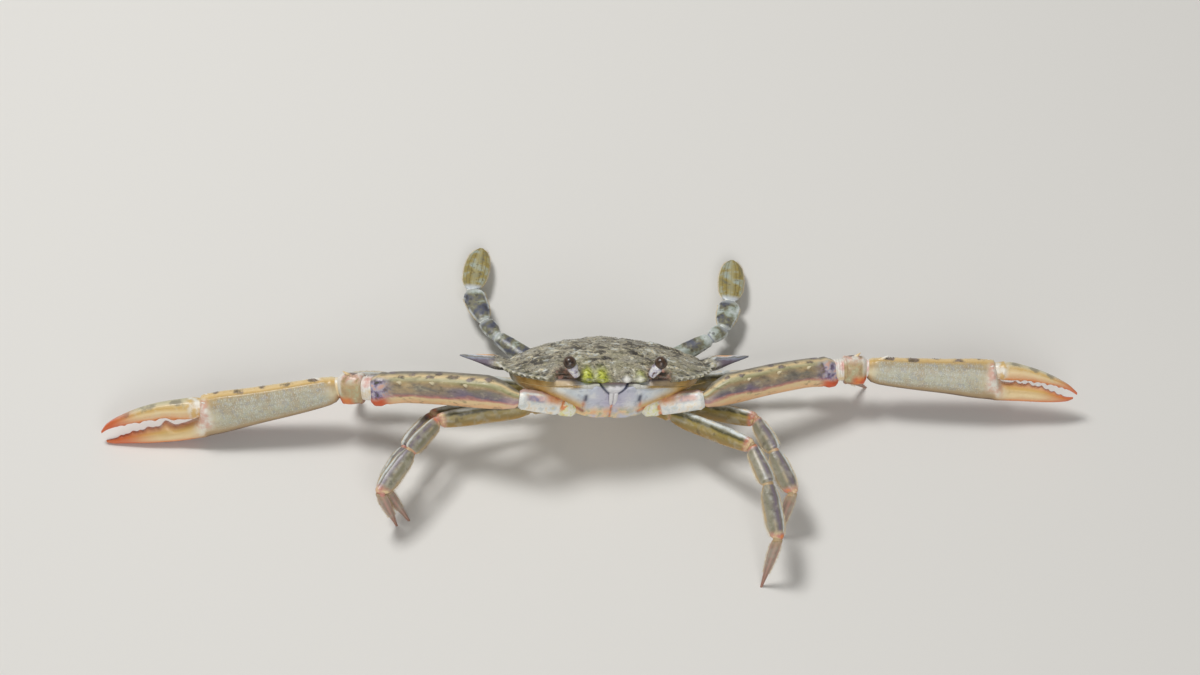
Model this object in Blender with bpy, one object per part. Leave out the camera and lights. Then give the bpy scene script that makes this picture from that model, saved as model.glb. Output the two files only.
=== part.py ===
"""A young blue swimming crab, life size, standing still with its claws stretched sideways."""

import math

import bmesh
import bpy
from mathutils import Matrix, Vector

MM = 0.001

# --- body: own frame has x across, y backward, z out of the back, origin midway between the long spines
CARAPACE_HALF_WIDTH = 40.0 * MM
BODY_HEIGHT = 20.4 * MM
BODY_PITCH = -39.0
BODY_YAW = 10.0
BODY_ROLL = 3.2
DOME_HEIGHT = 6.0 * MM
DOME_POWER = 2.3
DOME_CENTRE_Y = 1.5 * MM
REAR_DROOP = 2.2 * MM
MARGIN_THICKNESS = 0.8 * MM
UNDERSIDE_Z = -3.0 * MM
SPINE_RISE = 2.4 * MM
SPINE_LIFT_POWER = 1.5

# plain outline of the shield, front middle to rear middle of one half (x, y)
SHIELD_HALF = ((0.0, -13.6), (6.0, -13.8), (12.0, -13.2), (18.0, -12.2), (23.0, -9.0), (27.0, -4.0),
               (28.3, 0.0), (25.5, 5.0), (20.0, 11.0), (14.5, 16.2), (9.0, 18.8), (0.0, 19.5))
# frontal teeth, brow lobe, eye notch and the tooth outside the eye (x, y)
FRONT_EDGE = ((0.0, -14.5), (0.9, -15.4), (1.9, -14.6), (3.4, -16.0), (5.0, -14.3), (7.4, -15.3),
              (9.0, -13.6), (9.9, -11.9), (11.6, -11.1), (13.4, -11.0), (15.2, -11.3), (16.8, -12.6),
              (18.3, -15.0))
SIDE_TEETH = 7
SIDE_TEETH_START = (19.3, -12.4)
SIDE_TEETH_END = (28.6, -3.0)
SIDE_ARC_BULGE = 1.5
SIDE_TOOTH_REACH = 1.5
SIDE_TOOTH_LEAN = 0.7
SPINE_EDGE = ((33.6, -1.5), (40.0, 0.4), (33.4, 0.9), (28.4, 1.8))
REAR_EDGE_START = 7
# rings of the dome as shares of the outline radius
DOME_RINGS = (0.86, 0.66, 0.42, 0.18)
OUTLINE_POINTS = 240
RIM_SHARE = 0.96
UNDER_RIM_SHARE = 0.92
UNDER_SHARE = 0.82
UNDER_RIM_Z = -1.5 * MM
UNDER_RIM_DROOP = 0.8

# thorax rings: depth, share of the shield's width, share of its length, shift backward
THORAX_RINGS = ((-3.3, 0.90, 0.93, 0.0), (-6.0, 0.79, 0.89, -0.4), (-9.0, 0.51, 0.77, -0.6),
                (-11.2, 0.38, 0.62, -0.3), (-12.0, 0.28, 0.50, 0.0))
THORAX_POINTS = 32

GAP = 0.3 * MM
JOINT_GAP = 0.15 * MM
TIP_SINK = 0.25 * MM

EYE_CENTRE = (12.4, -14.2, 4.5)
EYE_RADIUS = 1.75 * MM
EYE_SEGMENTS = 10
EYE_RINGS = 6
STALK_ROOT = (10.1, -13.3, 0.6)
STALK_RADII = (1.0 * MM, 1.15 * MM, 1.35 * MM)

SECTION_POWER = 0.82
ROD_SIDES = 6
CONE_SIDES = 5
# spines and teeth: share of the length, share of the root radius
CONE_PROFILE = ((0.0, 1.0), (0.6, 0.62), (1.0, 0.25))
LEG_SIDES = 8


def outline_points(count):
    """Closed smooth outline of the shield without its teeth, in the body frame."""
    half = [Vector((x * MM, y * MM, 0.0)) for x, y in SHIELD_HALF]
    mirrored = [Vector((-p.x, p.y, 0.0)) for p in reversed(half[1:-1])]
    knots = half + mirrored
    return smooth_loop(knots, count)


def catmull(p0, p1, p2, p3, t):
    """Point on the smooth curve between p1 and p2."""
    a = 2.0 * p1
    b = p2 - p0
    c = 2.0 * p0 - 5.0 * p1 + 4.0 * p2 - p3
    d = 3.0 * p1 - p0 - 3.0 * p2 + p3
    return 0.5 * (a + b * t + c * t * t + d * t * t * t)


def smooth_loop(knots, count):
    """Resample a closed smooth curve through the knots."""
    total = len(knots)
    points = []
    for i in range(count):
        u = i * total / count
        k = int(u)
        points.append(catmull(knots[k - 1], knots[k % total], knots[(k + 1) % total],
                              knots[(k + 2) % total], u - k))
    return points


def outline_radius(direction, fine):
    """Distance from the dome centre to the plain outline along a direction."""
    centre = Vector((0.0, DOME_CENTRE_Y, 0.0))
    best = None
    for i, point in enumerate(fine):
        a = point - centre
        b = fine[(i + 1) % len(fine)] - centre
        cross_a = direction.x * a.y - direction.y * a.x
        cross_b = direction.x * b.y - direction.y * b.x
        if cross_a <= 0.0 < cross_b or cross_b <= 0.0 < cross_a:
            share = cross_a / (cross_a - cross_b)
            hit = a.lerp(b, share)
            if hit.dot(direction) > 0.0:
                best = hit.length
    return best


def side_teeth():
    """Valley and tip of every small tooth between the eye tooth and the long spine."""
    start = Vector((SIDE_TEETH_START[0], SIDE_TEETH_START[1], 0.0))
    end = Vector((SIDE_TEETH_END[0], SIDE_TEETH_END[1], 0.0))
    along = (end - start).normalized()
    outward = Vector((-along.y, along.x, 0.0))
    if outward.x < 0.0:
        outward = -outward
    points = []
    for i in range(SIDE_TEETH):
        for share, reach in ((0.0, 0.0), (0.42, SIDE_TOOTH_REACH)):
            t = (i + share) / SIDE_TEETH
            bulge = SIDE_ARC_BULGE * 4.0 * t * (1.0 - t)
            point = start.lerp(end, t) + outward * (bulge + reach) - along * (reach * SIDE_TOOTH_LEAN)
            points.append((point.x, point.y))
    points.append((SIDE_TEETH_END[0], SIDE_TEETH_END[1]))
    return points


def margin_points():
    """Whole toothed margin of the shield, front middle round by +X."""
    half = list(FRONT_EDGE) + side_teeth() + list(SPINE_EDGE)
    half += list(SHIELD_HALF[REAR_EDGE_START:])
    loop = [Vector((x * MM, y * MM, 0.0)) for x, y in half]
    loop += [Vector((-p.x, p.y, 0.0)) for p in reversed(loop[1:-1])]
    return loop


def droop(y):
    """Fall of the shield toward its rear edge."""
    return -REAR_DROOP * (max(y, 0.0) / (SHIELD_HALF[-1][1] * MM)) ** 2


def spine_lift(x):
    """Rise of the long side spines toward their tips."""
    root = SIDE_TEETH_END[0] * MM
    share = max(abs(x) - root, 0.0) / (CARAPACE_HALF_WIDTH - root)
    return SPINE_RISE * share ** SPINE_LIFT_POWER


def body_matrix():
    """Placement of the body frame above the floor."""
    turn = Matrix.Rotation(math.radians(BODY_PITCH), 4, "X")
    turn = turn @ Matrix.Rotation(math.radians(BODY_YAW), 4, "Z")
    turn = turn @ Matrix.Rotation(math.radians(BODY_ROLL), 4, "Y")
    return Matrix.Translation((0.0, 0.0, BODY_HEIGHT)) @ turn


BODY = body_matrix()


def body_point(x, y, z):
    """World place of a body-frame point given in millimetres."""
    return BODY @ Vector((x * MM, y * MM, z * MM))


def body_vector(x, y, z):
    """World direction of a body-frame direction."""
    return (BODY.to_3x3() @ Vector((x, y, z))).normalized()


def make_material(name, colour, roughness, metallic=0.0):
    """Plain surface finish."""
    material = bpy.data.materials.new(name)
    material.use_nodes = True
    shader = material.node_tree.nodes["Principled BSDF"]
    shader.inputs["Base Color"].default_value = (colour[0], colour[1], colour[2], 1.0)
    shader.inputs["Roughness"].default_value = roughness
    shader.inputs["Metallic"].default_value = metallic
    material.diffuse_color = (colour[0], colour[1], colour[2], 1.0)
    return material


FINISHES = {
    "shell": ((0.30, 0.31, 0.22), 0.50),
    "belly": ((0.66, 0.64, 0.60), 0.50),
    "claw": ((0.62, 0.52, 0.38), 0.45),
    "leg": ((0.42, 0.42, 0.36), 0.45),
    "paddle": ((0.46, 0.46, 0.46), 0.45),
    "cornea": ((0.05, 0.04, 0.03), 0.20),
    "feeler": ((0.55, 0.45, 0.38), 0.50),
}


def link_mesh(name, bm, finish):
    """Turn a finished closed mesh into a named object of the crab."""
    bmesh.ops.recalc_face_normals(bm, faces=bm.faces)
    mesh = bpy.data.meshes.new(name)
    bm.to_mesh(mesh)
    bm.free()
    item = bpy.data.objects.new(name, mesh)
    PARTS.objects.link(item)
    colour, roughness = FINISHES[finish]
    mesh.materials.append(make_material(name, colour, roughness))
    return item


def skin_rings(rings):
    """Closed mesh through rings of equal count, flat at both ends."""
    bm = bmesh.new()
    loops = [[bm.verts.new(p) for p in ring] for ring in rings]
    for lower, upper in zip(loops, loops[1:]):
        count = len(lower)
        for i in range(count):
            j = (i + 1) % count
            bm.faces.new((lower[i], lower[j], upper[j], upper[i]))
    bm.faces.new(loops[0])
    bm.faces.new(list(reversed(loops[-1])))
    return bm


def build_shield():
    """Broad toothed shield of the back with a long spine on either side."""
    fine = outline_points(OUTLINE_POINTS)
    margin = margin_points()
    centre = Vector((0.0, DOME_CENTRE_Y, 0.0))
    rays = []
    for point in margin:
        offset = point - centre
        direction = offset.normalized()
        rays.append((direction, offset.length, outline_radius(direction, fine)))

    def ring(share, height):
        """One ring at a share of the outline, never outside the margin."""
        loop = []
        for direction, reach, plain in rays:
            inside = share <= DOME_RINGS[0]
            radius = plain * share if inside else min(plain, reach) * share
            spot = centre + direction * radius
            loop.append(BODY @ Vector((spot.x, spot.y, height(spot, radius / plain))))
        return loop

    def dome(spot, share):
        """Height of the back at a share of the outline."""
        return DOME_HEIGHT * (1.0 - share ** DOME_POWER) + droop(spot.y)

    def under_rim(spot, share):
        """Height just under the rim."""
        return UNDER_RIM_Z + droop(spot.y) * UNDER_RIM_DROOP

    def under_flat(spot, share):
        """Height of the flat underside."""
        return UNDERSIDE_Z

    def edge(drop):
        """Margin itself, lowered by the thickness of the shell for the lower ring."""
        return [BODY @ Vector((p.x, p.y, droop(p.y) + spine_lift(p.x) - drop)) for p in margin]

    rings = [ring(UNDER_SHARE, under_flat), ring(UNDER_RIM_SHARE, under_rim)]
    rings.extend((edge(MARGIN_THICKNESS), edge(0.0), ring(RIM_SHARE, dome)))
    rings.extend(ring(share, dome) for share in DOME_RINGS)
    return link_mesh("carapace", skin_rings(rings), "shell")


def build_thorax():
    """Lower body: mouth front, side walls and breastplate."""
    outline = outline_points(THORAX_POINTS)
    centre = Vector((0.0, DOME_CENTRE_Y, 0.0))
    rings = []
    for depth, wide, long, shift in THORAX_RINGS:
        loop = []
        for p in outline:
            offset = p - centre
            back = centre.y + offset.y * long + shift * MM
            loop.append(BODY @ Vector((offset.x * wide, back, depth * MM)))
        rings.append(loop)
    return link_mesh("thorax", skin_rings(list(reversed(rings))), "belly")


def section(top, bottom, half_width, sides, power):
    """Closed rounded section in the plane across a limb: (thickness, height) pairs."""
    points = []
    for i in range(sides):
        angle = 2.0 * math.pi * (i + 0.5) / sides
        c = math.cos(angle)
        s = math.sin(angle)
        wide = half_width * math.copysign(abs(c) ** power, c)
        middle = 0.5 * (top + bottom)
        tall = middle + 0.5 * (top - bottom) * math.copysign(abs(s) ** power, s)
        points.append((wide, tall))
    return points


def limb_frame(direction, up):
    """Axes of a limb piece: along, across its thickness, up its height."""
    along = direction.normalized()
    height = (up - along * up.dot(along)).normalized()
    across = height.cross(along)
    return along, across, height


def limb_rings(start, direction, up, stations, sides=LEG_SIDES, power=SECTION_POWER, grow=0.0):
    """Rings of a limb piece from stations (place, top, bottom, half thickness) in millimetres."""
    along, across, height = limb_frame(direction, up)
    rings = []
    last = len(stations) - 1
    for k, (place, top, bottom, half) in enumerate(stations):
        stretch = -grow if k == 0 else grow if k == last else 0.0
        loop = []
        for wide, tall in section(top * MM + grow, bottom * MM - grow, half * MM + grow, sides, power):
            loop.append(start + along * (place * MM + stretch) + across * wide + height * tall)
        rings.append(loop)
    return rings


def tube_rings(path, radii, sides):
    """Rings of a thin round rod along a path."""
    rings = []
    side = Vector((0.0, 0.0, 1.0))
    for i, point in enumerate(path):
        before = path[max(i - 1, 0)]
        after = path[min(i + 1, len(path) - 1)]
        along = (after - before).normalized()
        side = (side - along * side.dot(along)).normalized()
        other = along.cross(side)
        loop = []
        for k in range(sides):
            angle = 2.0 * math.pi * k / sides
            spoke = side * math.cos(angle) + other * math.sin(angle)
            loop.append(point + spoke * radii[i])
        rings.append(loop)
    return rings


def cut_plane(item, place, outward):
    """Remove everything beyond a plane and close the cut."""
    bm = bmesh.new()
    bm.from_mesh(item.data)
    geometry = bm.verts[:] + bm.edges[:] + bm.faces[:]
    result = bmesh.ops.bisect_plane(bm, geom=geometry, plane_co=place, plane_no=outward, clear_outer=True)
    rim = [e for e in result["geom_cut"] if isinstance(e, bmesh.types.BMEdge)]
    if rim:
        bmesh.ops.holes_fill(bm, edges=rim, sides=0)
        bmesh.ops.recalc_face_normals(bm, faces=bm.faces)
    bm.to_mesh(item.data)
    bm.free()


def mitre(inner, outer, place, inner_way, outer_way):
    """Trim two joined limb pieces to either side of the plane halfway round their bend."""
    normal = (inner_way.normalized() + outer_way.normalized()).normalized()
    cut_plane(inner, place - normal * JOINT_GAP, normal)
    cut_plane(outer, place + normal * JOINT_GAP, -normal)


def combine(item, other, operation):
    """Exact Boolean of another object into an item."""
    step = item.modifiers.new("step", "BOOLEAN")
    step.operation = operation
    step.solver = "EXACT"
    step.object = other
    graph = bpy.context.evaluated_depsgraph_get()
    mesh = bpy.data.meshes.new_from_object(item.evaluated_get(graph))
    item.modifiers.clear()
    old = item.data
    item.data = mesh
    bpy.data.meshes.remove(old)


def helper(name, bm):
    """Object used only to shape others."""
    bmesh.ops.recalc_face_normals(bm, faces=bm.faces)
    mesh = bpy.data.meshes.new(name)
    bm.to_mesh(mesh)
    bm.free()
    item = bpy.data.objects.new(name, mesh)
    CUTTERS.objects.link(item)
    item.hide_render = True
    item.display_type = "WIRE"
    return item


def carve(item, bm, name):
    """Subtract a closed mesh from an item."""
    tool = helper(name, bm)
    bpy.context.view_layer.update()
    combine(item, tool, "DIFFERENCE")


def fuse(item, bm, name):
    """Join a closed mesh to an item."""
    tool = helper(name, bm)
    bpy.context.view_layer.update()
    combine(item, tool, "UNION")


def cone_mesh(root, direction, length, radius):
    """Closed pointed spine with a blunt tip."""
    along = direction.normalized()
    path = [root + along * (length * place) for place, _ in CONE_PROFILE]
    return skin_rings(tube_rings(path, [radius * share for _, share in CONE_PROFILE], CONE_SIDES))


def heading(azimuth, elevation):
    """Unit direction from degrees round the floor and degrees above it."""
    a = math.radians(azimuth)
    e = math.radians(elevation)
    return Vector((math.cos(a) * math.cos(e), math.sin(a) * math.cos(e), math.sin(e)))


def down_to_floor(start, azimuth, length):
    """Direction that brings a tip of this length to the floor."""
    fall = (start.z + TIP_SINK) / length
    return heading(azimuth, -math.degrees(math.asin(min(fall, 0.999))))


# --- eyes -------------------------------------------------------------------------------------------
def build_eye(side, tag):
    """Short stalk in the eye notch and its dark round cornea."""
    root = body_point(side * STALK_ROOT[0], STALK_ROOT[1], STALK_ROOT[2])
    centre = body_point(side * EYE_CENTRE[0], EYE_CENTRE[1], EYE_CENTRE[2])
    along = (centre - root).normalized()
    reach = (centre - root).length - EYE_RADIUS - GAP
    path = [root, root + along * reach * 0.5, root + along * reach]
    link_mesh("eyestalk_" + tag, skin_rings(tube_rings(path, STALK_RADII, EYE_SEGMENTS)), "belly")
    bm = bmesh.new()
    bmesh.ops.create_uvsphere(bm, u_segments=EYE_SEGMENTS, v_segments=EYE_RINGS, radius=EYE_RADIUS)
    bmesh.ops.translate(bm, verts=bm.verts, vec=centre)
    link_mesh("eye_" + tag, bm, "cornea")


# --- mouth parts --------------------------------------------------------------------------------------
MAXILLIPED_STATIONS = ((0.0, 2.2, -2.7, 0.6), (1.2, 2.8, -3.3, 0.8), (5.0, 2.8, -3.4, 0.8),
                       (5.6, 2.7, -3.2, 0.65), (8.2, 2.5, -2.3, 0.7), (9.4, 1.5, -0.8, 0.5))
MAXILLIPED_ROOT = (4.0, -9.8, -11.5)
MAXILLIPED_TOP = (4.3, -14.5, -3.3)
MAXILLIPED_POWER = 0.7
MAXILLIPED_SIDES = 8
PALP_PATH = ((3.4, -14.2, -4.2), (1.7, -14.9, -3.6), (0.95, -14.8, -5.2), (0.75, -13.9, -7.0))
PALP_RADII = (0.75 * MM, 0.75 * MM, 0.6 * MM, 0.35 * MM)


def build_maxilliped(side, tag):
    """Flat plate closing one side of the mouth, with its folded feeler."""
    root = body_point(side * MAXILLIPED_ROOT[0], MAXILLIPED_ROOT[1], MAXILLIPED_ROOT[2])
    top = body_point(side * MAXILLIPED_TOP[0], MAXILLIPED_TOP[1], MAXILLIPED_TOP[2])
    lateral = body_vector(side, 0.0, 0.0)

    def plate_rings(grow):
        """Rings of the plate, swollen by a clearance when they cut its seat."""
        return limb_rings(root, top - root, lateral, MAXILLIPED_STATIONS, MAXILLIPED_SIDES, MAXILLIPED_POWER,
                          grow)

    plate = link_mesh("maxilliped_" + tag, skin_rings(plate_rings(0.0)), "belly")
    carve(THORAX, skin_rings(plate_rings(GAP)), "mouth_" + tag)
    path = [body_point(side * x, y, z) for x, y, z in PALP_PATH]
    fuse(plate, skin_rings(tube_rings(path, PALP_RADII, ROD_SIDES)), "palp_" + tag)


# --- feelers ------------------------------------------------------------------------------------------
FEELER_PATH = ((4.0, -14.2, -2.0), (6.2, -14.4, -2.1), (8.4, -14.9, -2.0), (11.5, -14.8, -2.0),
               (15.0, -14.4, -2.2), (18.5, -14.0, -2.2), (22.0, -13.2, -1.8), (25.5, -12.6, -1.0))
FEELER_RADII = (0.75, 0.95, 0.70, 0.42, 0.36, 0.32, 0.29, 0.27)


def build_antenna(side, tag):
    """Basal article under the brow with its fine whip folded back below the eye."""
    path = [body_point(side * x, y, z) for x, y, z in FEELER_PATH]
    radii = [r * MM for r in FEELER_RADII]
    link_mesh("antenna_" + tag, skin_rings(tube_rings(path, radii, ROD_SIDES)), "feeler")


# --- tail flap ----------------------------------------------------------------------------------------
APRON_PATH = ((18.1, -4.3), (17.6, -6.6), (16.2, -9.0), (13.4, -11.9), (10.0, -13.2), (5.0, -13.4),
              (0.0, -13.2), (-3.0, -12.9))
APRON_HALF_WIDTHS = (8.0, 8.2, 7.2, 5.6, 3.6, 2.6, 1.9, 0.8)
APRON_HALF_THICKNESS = 0.55
APRON_SIDES = 8
APRON_POWER = 0.7


def apron_rings(grow):
    """Rings of the narrow flap folded round the rear and under the breastplate."""
    rings = []
    count = len(APRON_PATH)
    for i, (y, z) in enumerate(APRON_PATH):
        before = Vector((0.0,) + APRON_PATH[max(i - 1, 0)])
        after = Vector((0.0,) + APRON_PATH[min(i + 1, count - 1)])
        along = (after - before).normalized()
        across = Vector((1.0, 0.0, 0.0))
        out = across.cross(along)
        stretch = -grow if i == 0 else grow if i == count - 1 else 0.0
        spot = Vector((0.0, y, z)) + along * stretch
        loop = []
        for wide, tall in section(APRON_HALF_THICKNESS + grow, -APRON_HALF_THICKNESS - grow,
                                  APRON_HALF_WIDTHS[i] + grow, APRON_SIDES, APRON_POWER):
            loop.append(BODY @ ((spot + across * wide + out * tall) * MM))
        rings.append(loop)
    return rings


# --- claws --------------------------------------------------------------------------------------------
# stations: place along, top, bottom, half thickness, for a claw of full size (millimetres)
CLAW_BASE_STATIONS = ((0.0, 1.6, -1.4, 1.6), (1.0, 2.5, -2.2, 2.2), (6.0, 2.9, -2.5, 2.4),
                      (12.0, 3.0, -2.6, 2.5), (16.0, 2.7, -2.5, 2.4), (17.0, 2.2, -2.1, 1.9))
CLAW_MERUS_STATIONS = ((0.0, 1.9, -2.0, 1.8), (1.0, 2.4, -2.5, 2.3), (4.5, 4.7, -2.9, 2.9),
                       (9.0, 6.1, -3.0, 3.4), (20.0, 6.1, -2.7, 3.6), (31.0, 5.5, -2.9, 3.6),
                       (38.0, 4.8, -4.1, 3.4), (41.2, 3.8, -4.9, 2.8), (42.3, 2.8, -4.4, 2.2))
CLAW_CARPUS_STATIONS = ((0.0, 2.3, -2.9, 1.9), (0.9, 3.1, -3.6, 2.6), (3.5, 4.0, -4.3, 3.3),
                        (6.5, 4.0, -4.8, 3.3), (8.6, 3.4, -4.6, 2.8), (9.4, 2.7, -3.7, 2.2))
CLAW_PALM_STATIONS = ((0.0, 2.3, -2.9, 1.9), (1.0, 2.9, -3.7, 2.5), (4.0, 3.4, -4.6, 3.1),
                      (13.0, 4.0, -5.2, 3.5), (24.0, 4.8, -5.6, 3.7), (33.0, 5.7, -6.2, 3.7),
                      (37.0, 5.8, -6.3, 3.4), (38.2, 4.4, -6.35, 3.2), (39.2, 0.6, -6.4, 3.0))
CRUSHER_FIXED_FINGER = ((41.2, -0.9, -6.3, 2.6), (46.0, -1.7, -6.0, 2.2), (53.6, -1.0, -5.0, 1.9),
                        (60.3, -1.2, -3.7, 1.3), (64.4, -1.6, -2.9, 0.8), (66.3, -1.5, -2.2, 0.35))
CUTTER_FIXED_FINGER = ((41.0, -0.7, -6.3, 2.6), (47.0, -0.9, -6.0, 2.2), (52.5, -1.5, -5.8, 1.9),
                       (57.5, -3.1, -5.4, 1.3), (60.6, -3.7, -4.9, 0.8), (62.2, -3.5, -4.2, 0.35))
CRUSHER_FINGER_STATIONS = ((0.0, 1.7, -2.4, 1.9), (1.2, 2.5, -3.1, 2.6), (3.5, 2.6, -3.1, 2.5),
                           (9.3, 2.5, -1.8, 2.2), (15.1, 1.8, -2.0, 1.9), (21.7, 0.0, -2.6, 1.4),
                           (25.8, -1.9, -3.5, 0.8), (27.6, -3.8, -4.5, 0.35))
CUTTER_FINGER_STATIONS = ((0.0, 1.8, -2.2, 1.8), (1.2, 2.6, -2.7, 2.4), (3.5, 2.7, -2.7, 2.3),
                          (8.0, 2.0, -2.3, 2.0), (13.0, 0.8, -2.6, 1.7), (17.5, -0.8, -3.2, 1.2),
                          (21.5, -2.8, -4.3, 0.7), (24.2, -5.0, -5.7, 0.35))
CLAW_SIDES = 12
CLAW_BASE_SIDES = 10
SPINE_SUNK = 1.0
TOOTH_SUNK = 0.6
HINGE_STATIONS = 4
# short spines of the arm: place along, level up its height, length
MERUS_SPINE_LEAN = (0.45, 0.35)
TOP_SPINE_UPRIGHT = 0.75
MERUS_SPINES = ((13.0, 2.8, 1.0), (22.5, 2.6, 1.2), (32.0, 2.2, 1.2))
SPINE_RADIUS = 0.75
SPINE_SEAT = 2.6
CARPUS_SPINE = (5.2, 3.3, 2.6)
PALM_SPINE = (3.2, 2.9, 2.4)
KNUCKLE_SPINE = (34.0, 5.1, 1.6)
FINGER_HINGE = (39.0, 3.0)
CRUSHER_TEETH = ((49.0, -1.8, 1.7, 1.5), (53.9, -1.4, 0.9, 0.9), (58.0, -1.3, 0.9, 0.8),
                 (61.5, -1.5, 0.6, 0.6))
CUTTER_TEETH = ((44.5, -1.0, 0.8, 0.8), (48.5, -1.2, 0.8, 0.8), (52.5, -1.6, 0.8, 0.7),
                (56.5, -2.9, 0.6, 0.6))
CRUSHER_FINGER_TEETH = ((7.4, -2.2, 1.2, 1.1), (11.8, -2.0, 0.9, 0.8), (16.0, -2.1, 0.8, 0.7),
                        (20.2, -2.5, 0.6, 0.6))
CUTTER_FINGER_TEETH = ((7.0, -2.4, 0.7, 0.8), (11.0, -2.5, 0.6, 0.7), (15.0, -2.9, 0.6, 0.6),
                       (18.5, -3.5, 0.5, 0.5))

CLAW_POSES = {
    # size, directions of merus, carpus and palm (azimuth, elevation), finger opening, lean of the broad side
    "right": {"size": 1.0, "merus": (166.1, -13.0), "carpus": (170.0, -10.0), "palm": (186.4, -11.4),
              "open": 5.0, "back_tilt": 25.0},
    "left": {"size": 0.92, "merus": (19.8, -7.5), "carpus": (5.3, -1.0), "palm": (-3.7, -3.5),
             "open": 0.0, "back_tilt": 33.0},
}
CLAW_ROOT = (9.3, -8.0, -10.2)
CLAW_ELBOW = (25.2, -11.8, -6.4)


def scaled(stations, size):
    """Same stations at another size of claw."""
    return tuple(tuple(value * size for value in row) for row in stations)


def build_claw(tag):
    """Whole claw arm: base, merus, carpus, palm with fixed finger, hinged finger."""
    pose = CLAW_POSES[tag]
    side = -1.0 if tag == "right" else 1.0
    size = pose["size"]
    up = heading(90.0, 90.0 - pose["back_tilt"])
    root = body_point(side * CLAW_ROOT[0], CLAW_ROOT[1], CLAW_ROOT[2])
    hip = body_point(side * CLAW_ELBOW[0], CLAW_ELBOW[1], CLAW_ELBOW[2])
    base_way = hip - root
    base_stations = fit_length(CLAW_BASE_STATIONS, base_way.length / MM)
    base_rings = limb_rings(root, base_way, up, base_stations, CLAW_BASE_SIDES)
    base = link_mesh("claw_base_" + tag, skin_rings(base_rings), "belly")
    for body in (THORAX, SHIELD):
        socket = limb_rings(root, base_way, up, base_stations, CLAW_BASE_SIDES, SECTION_POWER, GAP)
        carve(body, skin_rings(socket), "socket_" + tag + "_" + body.name)

    merus_way = heading(*pose["merus"])
    merus_stations = scaled(CLAW_MERUS_STATIONS, size)
    merus = link_mesh("claw_merus_" + tag,
                      skin_rings(limb_rings(hip, merus_way, up, merus_stations, CLAW_SIDES)), "claw")
    _, merus_across, merus_height = limb_frame(merus_way, up)
    front = merus_across * math.copysign(1.0, -merus_across.y)
    for k, (place, level, tall) in enumerate(scaled(MERUS_SPINES, size)):
        spot = hip + merus_way * place * MM + front * SPINE_SEAT * size * MM + merus_height * level * MM
        lean = front + merus_way * MERUS_SPINE_LEAN[0] + merus_height * MERUS_SPINE_LEAN[1]
        thorn = cone_mesh(spot, lean, (tall + SPINE_SUNK) * MM, SPINE_RADIUS * MM)
        fuse(merus, thorn, "merus_spine_" + tag + str(k))
    elbow = hip + merus_way * merus_stations[-1][0] * MM
    carpus_way = heading(*pose["carpus"])
    carpus_stations = scaled(CLAW_CARPUS_STATIONS, size)
    carpus = link_mesh("claw_carpus_" + tag,
                       skin_rings(limb_rings(elbow, carpus_way, up, carpus_stations, CLAW_SIDES)), "claw")
    top_spine(carpus, elbow, carpus_way, up, CARPUS_SPINE, size, tag)
    wrist = elbow + carpus_way * carpus_stations[-1][0] * MM
    palm_way = heading(*pose["palm"])
    fixed_finger = CRUSHER_FIXED_FINGER if tag == "right" else CUTTER_FIXED_FINGER
    palm_stations = scaled(CLAW_PALM_STATIONS + fixed_finger, size)
    palm_rings = limb_rings(wrist, palm_way, up, palm_stations, CLAW_SIDES)
    palm = link_mesh("claw_palm_" + tag, skin_rings(palm_rings), "claw")
    along, across, height = limb_frame(palm_way, up)
    top_spine(palm, wrist, palm_way, up, PALM_SPINE, size, tag)
    top_spine(palm, wrist, palm_way, up, KNUCKLE_SPINE, size, tag + "_knuckle")
    teeth = CRUSHER_TEETH if tag == "right" else CUTTER_TEETH
    for k, (place, level, tall, radius) in enumerate(scaled(teeth, size)):
        spot = wrist + along * place * MM + height * (level - TOOTH_SUNK) * MM
        tooth = cone_mesh(spot, height, (tall + TOOTH_SUNK) * MM, radius * MM)
        fuse(palm, tooth, "tooth_" + tag + str(k))

    hinge = wrist + along * FINGER_HINGE[0] * size * MM + height * FINGER_HINGE[1] * size * MM
    swing = Matrix.Rotation(math.radians(pose["open"]), 3, across)
    finger_way = swing.inverted() @ along
    finger_stations = scaled(CRUSHER_FINGER_STATIONS if tag == "right" else CUTTER_FINGER_STATIONS, size)
    finger_rings = limb_rings(hinge, finger_way, height, finger_stations, CLAW_SIDES)
    finger = link_mesh("claw_finger_" + tag, skin_rings(finger_rings), "claw")
    _, _, finger_up = limb_frame(finger_way, height)
    finger_teeth = CRUSHER_FINGER_TEETH if tag == "right" else CUTTER_FINGER_TEETH
    for k, (place, level, tall, radius) in enumerate(scaled(finger_teeth, size)):
        spot = hinge + finger_way * place * MM + finger_up * (level + TOOTH_SUNK) * MM
        tooth = cone_mesh(spot, -finger_up, (tall + TOOTH_SUNK) * MM, radius * MM)
        fuse(finger, tooth, "finger_tooth_" + tag + str(k))

    mitre(base, merus, hip, base_way, merus_way)
    mitre(merus, carpus, elbow, merus_way, carpus_way)
    mitre(carpus, palm, wrist, carpus_way, palm_way)
    flatten_foot(palm)
    seat_stations = finger_stations[:HINGE_STATIONS]
    seat = limb_rings(hinge, finger_way, height, seat_stations, CLAW_SIDES, SECTION_POWER, GAP)
    carve(palm, skin_rings(seat), "hinge_" + tag)


def top_spine(piece, start, way, up, spine, size, tag):
    """Spine on the upper edge of an arm piece, leaning toward the claw."""
    along, _, height = limb_frame(way, up)
    place, level, tall = spine
    spot = start + along * place * size * MM + height * level * size * MM
    lean = height * TOP_SPINE_UPRIGHT + along
    thorn = cone_mesh(spot, lean, (tall + SPINE_SUNK) * size * MM, SPINE_RADIUS * MM)
    fuse(piece, thorn, piece.name + "_spine_" + tag)


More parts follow.
